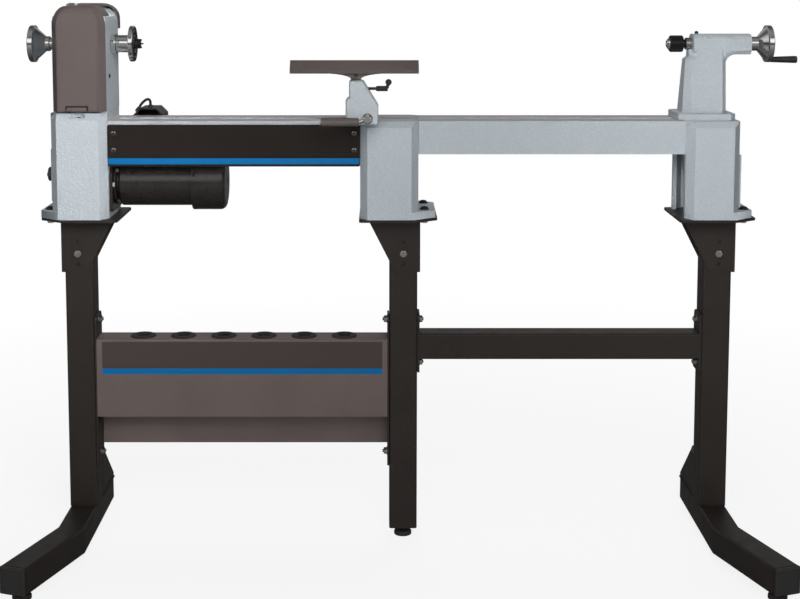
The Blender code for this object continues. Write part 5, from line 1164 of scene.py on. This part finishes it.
set_screw = cut(rod((0, 0, -0.0035), (0, 0, 0.0001), 0.0030, 28),
                prism(hexagon(0.0016), -0.0022, 0.001))
screw_spots = [spot for x, radius in ((0.0040, 0.02085), (0.0155, 0.0183))
               for spot in round_axis(x, radius, spindle_z, (15, 135, 255))]
copies(set_screw, screw_spots, "set_screws", black_oxide, body="spindle_group")
print(len(screw_spots), "set screws")

# %% Outboard handwheel and bearings
on_spindle([(0.0103, -0.131), (0.01585, -0.131), (0.01585, -0.139), (0.0345, -0.160),
            (0.03925, -0.1615), (0.03925, -0.171), (0.03775, -0.1725), (0.0345, -0.1725),
            (0.029, -0.1675), (0.014, -0.160), (0.0103, -0.160)],
           "outboard_handwheel_turned", chrome, ["outboard_handwheel"], soft=0.0010,
           ring=True)
for name, station, low, high in (("inboard", -0.010, -0.008, 0.008),
                                 ("outboard", -0.104, -0.006, 0.006)):
    seal = high - 0.0008 if name == "inboard" else high
    race = [(0.0128, high), (0.0150, high), (0.0153, seal), (0.0174, seal),
            (0.0177, high), (0.0199, high), (0.0199, low), (0.0128, low)]
    if name == "outboard":
        race = [(r, -x) for r, x in race]
    on_spindle([(r, station + x) for r, x in race], name + "_bearing_races", steel,
               [name + "_bearing"], "stand_and_bed", 0.0003, True, 64)
print("handwheel and two bearings")

# %% [markdown]
# ## Belt drive
# A ribbed belt runs over three-step pulleys below the cover and the side door.  The ribs
# are part of the pulley's profile.  The belt is an oval loop pulled to its width.

# %% Pulleys and belt


def stepped(radii, near=-0.029, wide=0.022, ribs=5, pitch=0.0034, deep=0.0013):
    """Profile of a three-step pulley, with rib grooves in every step."""
    profile = []
    for radius in radii:
        start = near - 0.0024
        profile += [(radius, near), (radius, start)]
        for k in range(ribs):
            profile += [(radius - deep, start - pitch * (k + 0.5)),
                        (radius, start - pitch * (k + 1))]
        near -= wide
        profile.append((radius, near))
    return profile


def belt_loop(radius, left, right):
    """Solid inside a belt that runs at a radius over both pulleys."""
    return prism(arc((0, spindle_z), radius, 0, 180, 40)
                 + arc((0, motor_z), radius, 180, 360, 40), left, right, "YZ")


on_spindle([(0.0128, -0.023), (0.0417, -0.023), (0.0425, -0.0238), (0.0425, -0.029)]
           + stepped((0.040, 0.031, 0.022)) + [(0.0128, -0.095)],
           "spindle_pulley_turned", alloy, ["spindle_pulley"], soft=0, ring=True)
on_spindle([(0, 0.030), (0.0074, 0.030), (0.008, 0.0294), (0.008, -0.029)]
           + stepped((0.022, 0.031, 0.040)) + [(0.008, -0.095), (0.008, -0.099),
                                               (0, -0.099)],
           "motor_pulley_turned", alloy, ["motor_pulley"], "motor_rotor", 0, at=motor_at)
belt = cut(belt_loop(0.0353, -0.068, -0.056), belt_loop(0.0313, -0.070, -0.054))
settle(round_edges(belt, 0.0006, angle=50), "ribbed_belt", belt_rubber, ["drive_belt"])
print("belt centres", round(spindle_z - motor_z, 4), "m apart")

# %% [markdown]
# ## Motor
# The motor hangs from a swing plate below the bed, and its weight tightens the belt.
# Its body and fan cap are turned shapes in gloss enamel.  Screws ring the fan cap.

# %% Motor
refined("motor_plate", 0.0008, 2, 0.003)
on_spindle([(0, 0.1846), (0.0515, 0.1846), (0.0515, 0.0206), (0.0475, 0.0166),
            (0.036, 0.0166), (0.036, 0.0106), (0.049, 0.0106), (0.049, 0.0066),
            (0.0083, 0.0066), (0.0083, 0.0303), (0, 0.0303)],
           "motor_body", motor_paint, ["motor_housing"], "motor_group", 0.0018, at=motor_at)
on_spindle([(0, 0.2405), (0.0060, 0.2405), (0.0072, 0.2421), (0.0470, 0.2421)]
           + arc((0.0470, 0.2287), 0.0134, 90, 0, 12)
           + [(0.0604, 0.2060), (0.0601, 0.2056), (0.0601, 0.2048), (0.0604, 0.2044),
              (0.0604, 0.1712), (0.0598, 0.1706), (0.0518, 0.1706), (0.0518, 0.1756),
              (0.0574, 0.1756), (0.0574, 0.2281), (0.048, 0.2391), (0, 0.2391)],
           "motor_fan_cap", motor_paint, ["motor_end_cap"], "motor_group", sides=128,
           at=motor_at)
copies(cross_screw(0.0036, 0.0016, 0.0009),
       round_axis(0.1772, 0.0600, motor_z, (20, 110, 200, 290)), "fan_cap_screws",
       black_oxide, body="motor_group")
flange_spots = [((0.0106, 0.0425 * math.cos(turn), motor_z + 0.0425 * math.sin(turn)),
                 heading["+X"]) for turn in map(math.radians, (140, 267, 20))]
flange_bolt = hex_head(0.0080, 0.0042, washer=0.0062, washer_high=0.0009)
copies(flange_bolt, flange_spots, "motor_flange_bolts", zinc, body="motor_group")
print("motor, 4 cap screws, 3 flange bolts")

# %% [markdown]
# ## Control box
# The speed control sits behind the bed.  Its knob is moulded with a skirt, a pointer and
# 24 ridges for the fingers.

# %% Control box, knob and switch
refined("control_box", 0.0014, 3, 0.004)
dial_x, dial_y, dial_z = 0.074, 0.140, 0.885
dial_knob = turned([(0, 0.0001), (0.0139, 0.0001), (0.0139, 0.0022), (0.0124, 0.0030),
                    (0.0118, 0.0148), (0.0104, 0.016), (0, 0.016)], sides=72, soft=0.0005)
pointer = block((-0.0009, 0.002, 0.0155), (0.0009, 0.0110, 0.0168))
join(dial_knob, pointer, rod((0, 0, -0.0070), (0, 0, 0.0010), 0.0044, 24))
moved(dial_knob, (dial_x, dial_y, dial_z), axis_turn["+Y"])
settle(dial_knob, "speed_knob_moulded", black_plastic, ["speed_knob"], "dial")
ridge = prism(round_box(-0.0006, 0.0006, -0.0012, 0.0012, 0.0004, 2), 0.0032, 0.0140)
turns = [2 * math.pi * k / 24 for k in range(24)]
ridge_spots = [((dial_x + 0.0122 * math.cos(turn), dial_y,
                 dial_z + 0.0122 * math.sin(turn)), (-quarter, turn, 0)) for turn in turns]
copies(ridge, ridge_spots, "speed_knob_ridges", black_plastic, body="dial")
refined("power_switch", 0.0008, 2, 0.004)
print(len(ridge_spots), "ridges on the speed knob")

# %% [markdown]
# ## Cable
# A short cable loops out of one gland on the box's lid into the other, so both ends of it
# are held.  A gland is a rubber sleeve with six rings that let it bend with the cable.

# %% Glands and cable
for name, base, tip in (("left", (0.0345, 0.100, 0.9225), (0.0395, 0.100, 0.9325)),
                        ("right", (0.0635, 0.100, 0.931), (0.0635, 0.100, 0.9382))):
    way = Vector(tip) - Vector(base)
    long = way.length
    sleeve = [(0, 0), (0.0061, 0)]
    for k in range(6):
        low, radius = long * (0.30 + 0.11 * k), 0.0060 - 0.0013 * k / 5
        sleeve += [(radius, low), (radius, low + long * 0.06),
                   (radius - 0.0006, low + long * 0.07)]
    sleeve += [(0.0045, long * 0.98), (0.0042, long), (0, long)]
    gland = moved(turned(sleeve, sides=40), base,
                  way.to_track_quat("Z", "Y").to_matrix().to_4x4())
    settle(gland, name + "_cable_gland", rubber)
route = [(0.0397, 0.9328), (0.0405, 0.9350), (0.0420, 0.9378), (0.0437, 0.9402),
         (0.0458, 0.9425), (0.0481, 0.9448), (0.0505, 0.9469), (0.0530, 0.9487),
         (0.0555, 0.9499), (0.0578, 0.9504), (0.0600, 0.9500), (0.0618, 0.9486),
         (0.0629, 0.9466), (0.0634, 0.9440), (0.0635, 0.9412), (0.0635, 0.9386)]
path = [(head_x + x, 0.100, z) for x, z in route]
line = bpy.data.curves.new("control_cable_line", "CURVE")
line.dimensions = "3D"
line.bevel_depth = 0.003
line.bevel_resolution = 6
line.use_fill_caps = True
spline = line.splines.new("POLY")
spline.points.add(len(path) - 1)
for point, spot in zip(spline.points, path):
    point.co = (*spot, 1)
cable = place("control_cable_line", line)
line.materials.append(rubber)
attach(cable, "stand_and_bed")
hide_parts("control_cable")

# %% [markdown]
# ## Banjo
# The banjo is the cast foot that slides along the bed and carries the tool rest.  A cam
# lever clamps it: a plated ring, a stem and a sleeve to hold.

# %% Banjo and cam lever
refined("banjo", 0.0018, 3, 0.008)
refined("banjo_clamp_plate", 0.0010, 2, 0.01)
refined("banjo_clamp_bolt", 0.0005, 2, 0.004)
cam_x, cam_z = 0.5445, 0.9316
lever_y, grip_x, grip_z = -0.170, 0.527, 0.9265


def across_bed(profile, at, soft, sides=64):
    """Turned piece whose axis runs across the bed."""
    return turned(profile, at, "+Y", sides, soft=soft)


cam_ring = across_bed([(0, -0.1533), (0.0115, -0.1533), (0.0115, -0.1493),
                       (0.006, -0.1493), (0.006, 0.0477), (0, 0.0477)],
                      (cam_x, 0, cam_z), 0.0008)
settle(cam_ring, "cam_ring", chrome, ["banjo_cam_lever"], "banjo_cam")
cam_hub = across_bed([(0, -0.1785), (0.0070, -0.1785), (0.0085, -0.1768),
                      (0.0085, -0.1530), (0, -0.1530)], (cam_x, 0, cam_z), 0.0008)
join(cam_hub, rod((cam_x, lever_y, cam_z), (grip_x, lever_y, grip_z), 0.0050))
settle(round_edges(cam_hub, 0.0006, angle=50), "cam_lever_hub", chrome, body="banjo_cam")
cam_sleeve = turned([(0, -0.528), (0.0060, -0.528), (0.0085, -0.5255), (0.0088, -0.505),
                     (0.0085, -0.470), (0.0085, -0.4515), (0, -0.4515)],
                    (0, lever_y, grip_z), "-X", 64, soft=0.0006)
settle(cam_sleeve, "cam_lever_sleeve", grip_plastic, body="banjo_cam")
sleeve_end = turned([(0, -0.4517), (0.0079, -0.4517), (0.0079, -0.4496),
                     (0.0066, -0.4485), (0, -0.4485)], (0, lever_y, grip_z), "-X", 64,
                    soft=0.0004)
settle(sleeve_end, "cam_sleeve_end", alloy, body="banjo_cam")
print("cam lever", round(cam_x - 0.4485, 3), "m long")

# %% [markdown]
# ## Tool rest
# The rest is a T of flat bar: a long bevelled blade on a neck that flares into it.  The
# neck turns on the post, and the post rises in the banjo.  A small bent lever locks it.

# %% Post, rest and lock lever
rest_x, rest_y = 0.521, -0.125
post = turned([(0, 1.0185), (0.006, 1.0185), (0.006, 1.0086), (0.0095, 1.0086),
               (0.0095, 0.930), (0, 0.930)], (rest_x, rest_y, 0), "+Z", 64, soft=0.0007)
settle(post, "tool_post_turned", post_steel, ["tool_post"], "rest_post")
refined("tool_rest", 0.0011, 3, 0.006, angle=30)
lock = turned([(0, 0.5309), (0.003, 0.5309), (0.003, 0.5618), (0.0048, 0.5620),
               (0.0055, 0.5640), (0.0055, 0.5846), (0.0046, 0.586), (0, 0.586)],
              (0, rest_y, 0.991), "+X", 48, soft=0.0006)
bend = [(x, rest_y, z) for x, z in ((0.5800, 0.9910), (0.5835, 0.9925), (0.5858, 0.9960),
                                    (0.5872, 1.0030))]
parts = [rod(a, b, 0.0042 - 0.0004 * k, 24) for k, (a, b) in enumerate(zip(bend, bend[1:]))]
join(lock, *parts, ball(0.0065, (0.5875, rest_y, 1.004)))
settle(lock, "rest_lock_moulded", black_plastic, ["rest_lock_lever"], "rest_lock", angle=50)
rest_low, rest_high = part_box("tool_rest")
print("rest", round(rest_high.x - rest_low.x, 3), "m wide")

# %% [markdown]
# ## Tailstock
# The tailstock casting stands on the far end of the bed.  Its handwheel drives the quill
# in and out, and the quill carries a live centre with a knurled body.

# %% Tailstock casting and quill
refined("tailstock", 0.0018, 3, 0.008)
refined("tail_clamp_bolt", 0.0005, 2, 0.004)
on_spindle([(0, 1.262), (0.0063, 1.262), (0.0063, 1.341), (0.0129, 1.341),
            (0.0129, 1.2195), (0.0119, 1.2185), (0.0075, 1.2185), (0.0075, 1.2495),
            (0, 1.2495)], "quill_turned", steel, ["quill"], "quill_group")
print("tailstock and quill")

# %% Live centre
on_spindle([(0, 1.2485), (0.0072, 1.2485), (0.0072, 1.2182), (0.009, 1.2182),
            (0.009, 1.2132), (0.0160, 1.2132), (0.0171, 1.2122), (0.0171, 1.1866),
            (0.0158, 1.1852), (0.0045, 1.1852), (0.0045, 1.2048), (0, 1.2048)],
           "live_centre_body", black_oxide, ["live_center_body"], "quill_group", 0.0003)
on_spindle([(0, 1.2045), (0.0042, 1.2045), (0.0042, 1.1849), (0.0130, 1.1849),
            (0.0130, 1.1840), (0.0105, 1.1812), (0.0088, 1.1806), (0.0065, 1.1785),
            (0.0040, 1.1785), (0.0030, 1.1800), (0, 1.1800)],
           "live_centre_nose", chrome, ["live_center_nose"], "live_nose", 0.0003)
print("live centre, body and nose")

# %% [markdown]
# The knurl is one small wedge repeated round the body.  Its copies need a turn about the
# spindle axis after they lie along it, and an Euler turn can't give both at once, so the
# carrier is drawn upright, filled by the copy tree, and laid along the spindle last.

# %% Knurl
rib = prism([(-0.0007, -0.0004), (0.0007, -0.0004), (0, 0.00062)], -0.0118, 0.0118)
turns = [2 * math.pi * k / 44 for k in range(44)]
knurl_spots = [((0.0171 * math.cos(turn), 0.0171 * math.sin(turn), 0),
                (0, 0, turn - quarter)) for turn in turns]
knurl = copies(rib, knurl_spots, "live_centre_knurl", black_oxide, body="quill_group",
               shift=False)
moved(knurl, (head_x + 1.1993, 0, spindle_z), axis_turn["+X"])
print(len(knurl_spots), "knurl ridges")

# %% [markdown]
# ## Handwheel and crank
# The handwheel is a polished dish with a raised boss.  A tapered grip spins on a pin near
# its rim.

# %% Tail handwheel
on_spindle([(0, 1.3900), (0.0040, 1.3900), (0.0050, 1.3915), (0.0100, 1.3915),
            (0.0112, 1.3900), (0.028, 1.3950), (0.0345, 1.4000), (0.03785, 1.4000),
            (0.03935, 1.3985), (0.03935, 1.3893), (0.0345, 1.3878), (0.015, 1.3713),
            (0.015, 1.3548), (0.006, 1.3548), (0.006, 1.265), (0, 1.265)],
           "tail_handwheel_turned", chrome, ["tail_handwheel"], "tail_wheel", 0.0010)
crank_throw = 0.0336
on_spindle([(0, 1.3915), (0.0025, 1.3915), (0.0025, 1.4003), (0.0056, 1.4003),
            (0.00585, 1.4017), (0.0066, 1.4220), (0.0075, 1.4480), (0.0075, 1.4560),
            (0.0068, 1.4567), (0.0030, 1.4567), (0.0026, 1.4555), (0, 1.4555)],
           "crank_grip_moulded", black_plastic, ["tail_handle"], "crank_grip", 0.0008,
           sides=64, at=(0, 0, spindle_z - crank_throw))
print("crank", crank_throw * 1000, "mm from the axis")

# %% [markdown]
# ## Tailstock levers
# The quill lock and the bed clamp are at the rear.  Each is a hub with a tapering arm.

# %% Levers
lock_x, lock_y = 1.2498, 0.0335
lock_hub = across_bed([(0, 0.0132), (0.003, 0.0132), (0.003, 0.0282), (0.0050, 0.0282),
                       (0.0055, 0.0292), (0.0055, 0.0380), (0.0046, 0.0390),
                       (0, 0.0390)], (lock_x, 0, spindle_z), 0.0005, 48)
join(lock_hub, rod((lock_x, lock_y, spindle_z), (lock_x, lock_y, 1.0995), 0.0040,
                   tip=0.0034), ball(0.0042, (lock_x, lock_y, 1.0991)))
settle(lock_hub, "quill_lock_moulded", black_plastic, ["quill_lock"], "quill_lock_group",
       angle=50)
clamp_x, clamp_y, clamp_z = 1.2577, 0.052, 0.952
tail_hub = across_bed([(0, -0.020), (0.006, -0.020), (0.006, 0.0432), (0.0100, 0.0432),
                       (0.0115, 0.0446), (0.0115, 0.0556), (0.0100, 0.0570),
                       (0, 0.0570)], (clamp_x, 0, clamp_z), 0.0008)
join(tail_hub, rod((clamp_x, clamp_y, clamp_z), (1.2760, clamp_y, 0.9931), 0.0050),
     rod((1.27285, clamp_y, 0.986), (1.2876, clamp_y, 1.0191), 0.0056, tip=0.0060),
     ball(0.0060, (1.2874, clamp_y, 1.0187)))
settle(tail_hub, "tail_cam_moulded", black_plastic, ["tail_cam_lever"], "tail_cam",
       angle=50)
print("two levers")

# %% [markdown]
# ## Sizes
# The dressed lathe stays inside the imported model's box, apart from a few millimetres, so
# the script prints how far it grows past that box.

# %% Finish
look_low, look_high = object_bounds()
grown = [round((new - old) * 1000, 1) for box, base in ((look_low, cad_low),
                                                        (look_high, cad_high))
         for new, old in zip(box, base)]
print("grown by", grown, "mm")
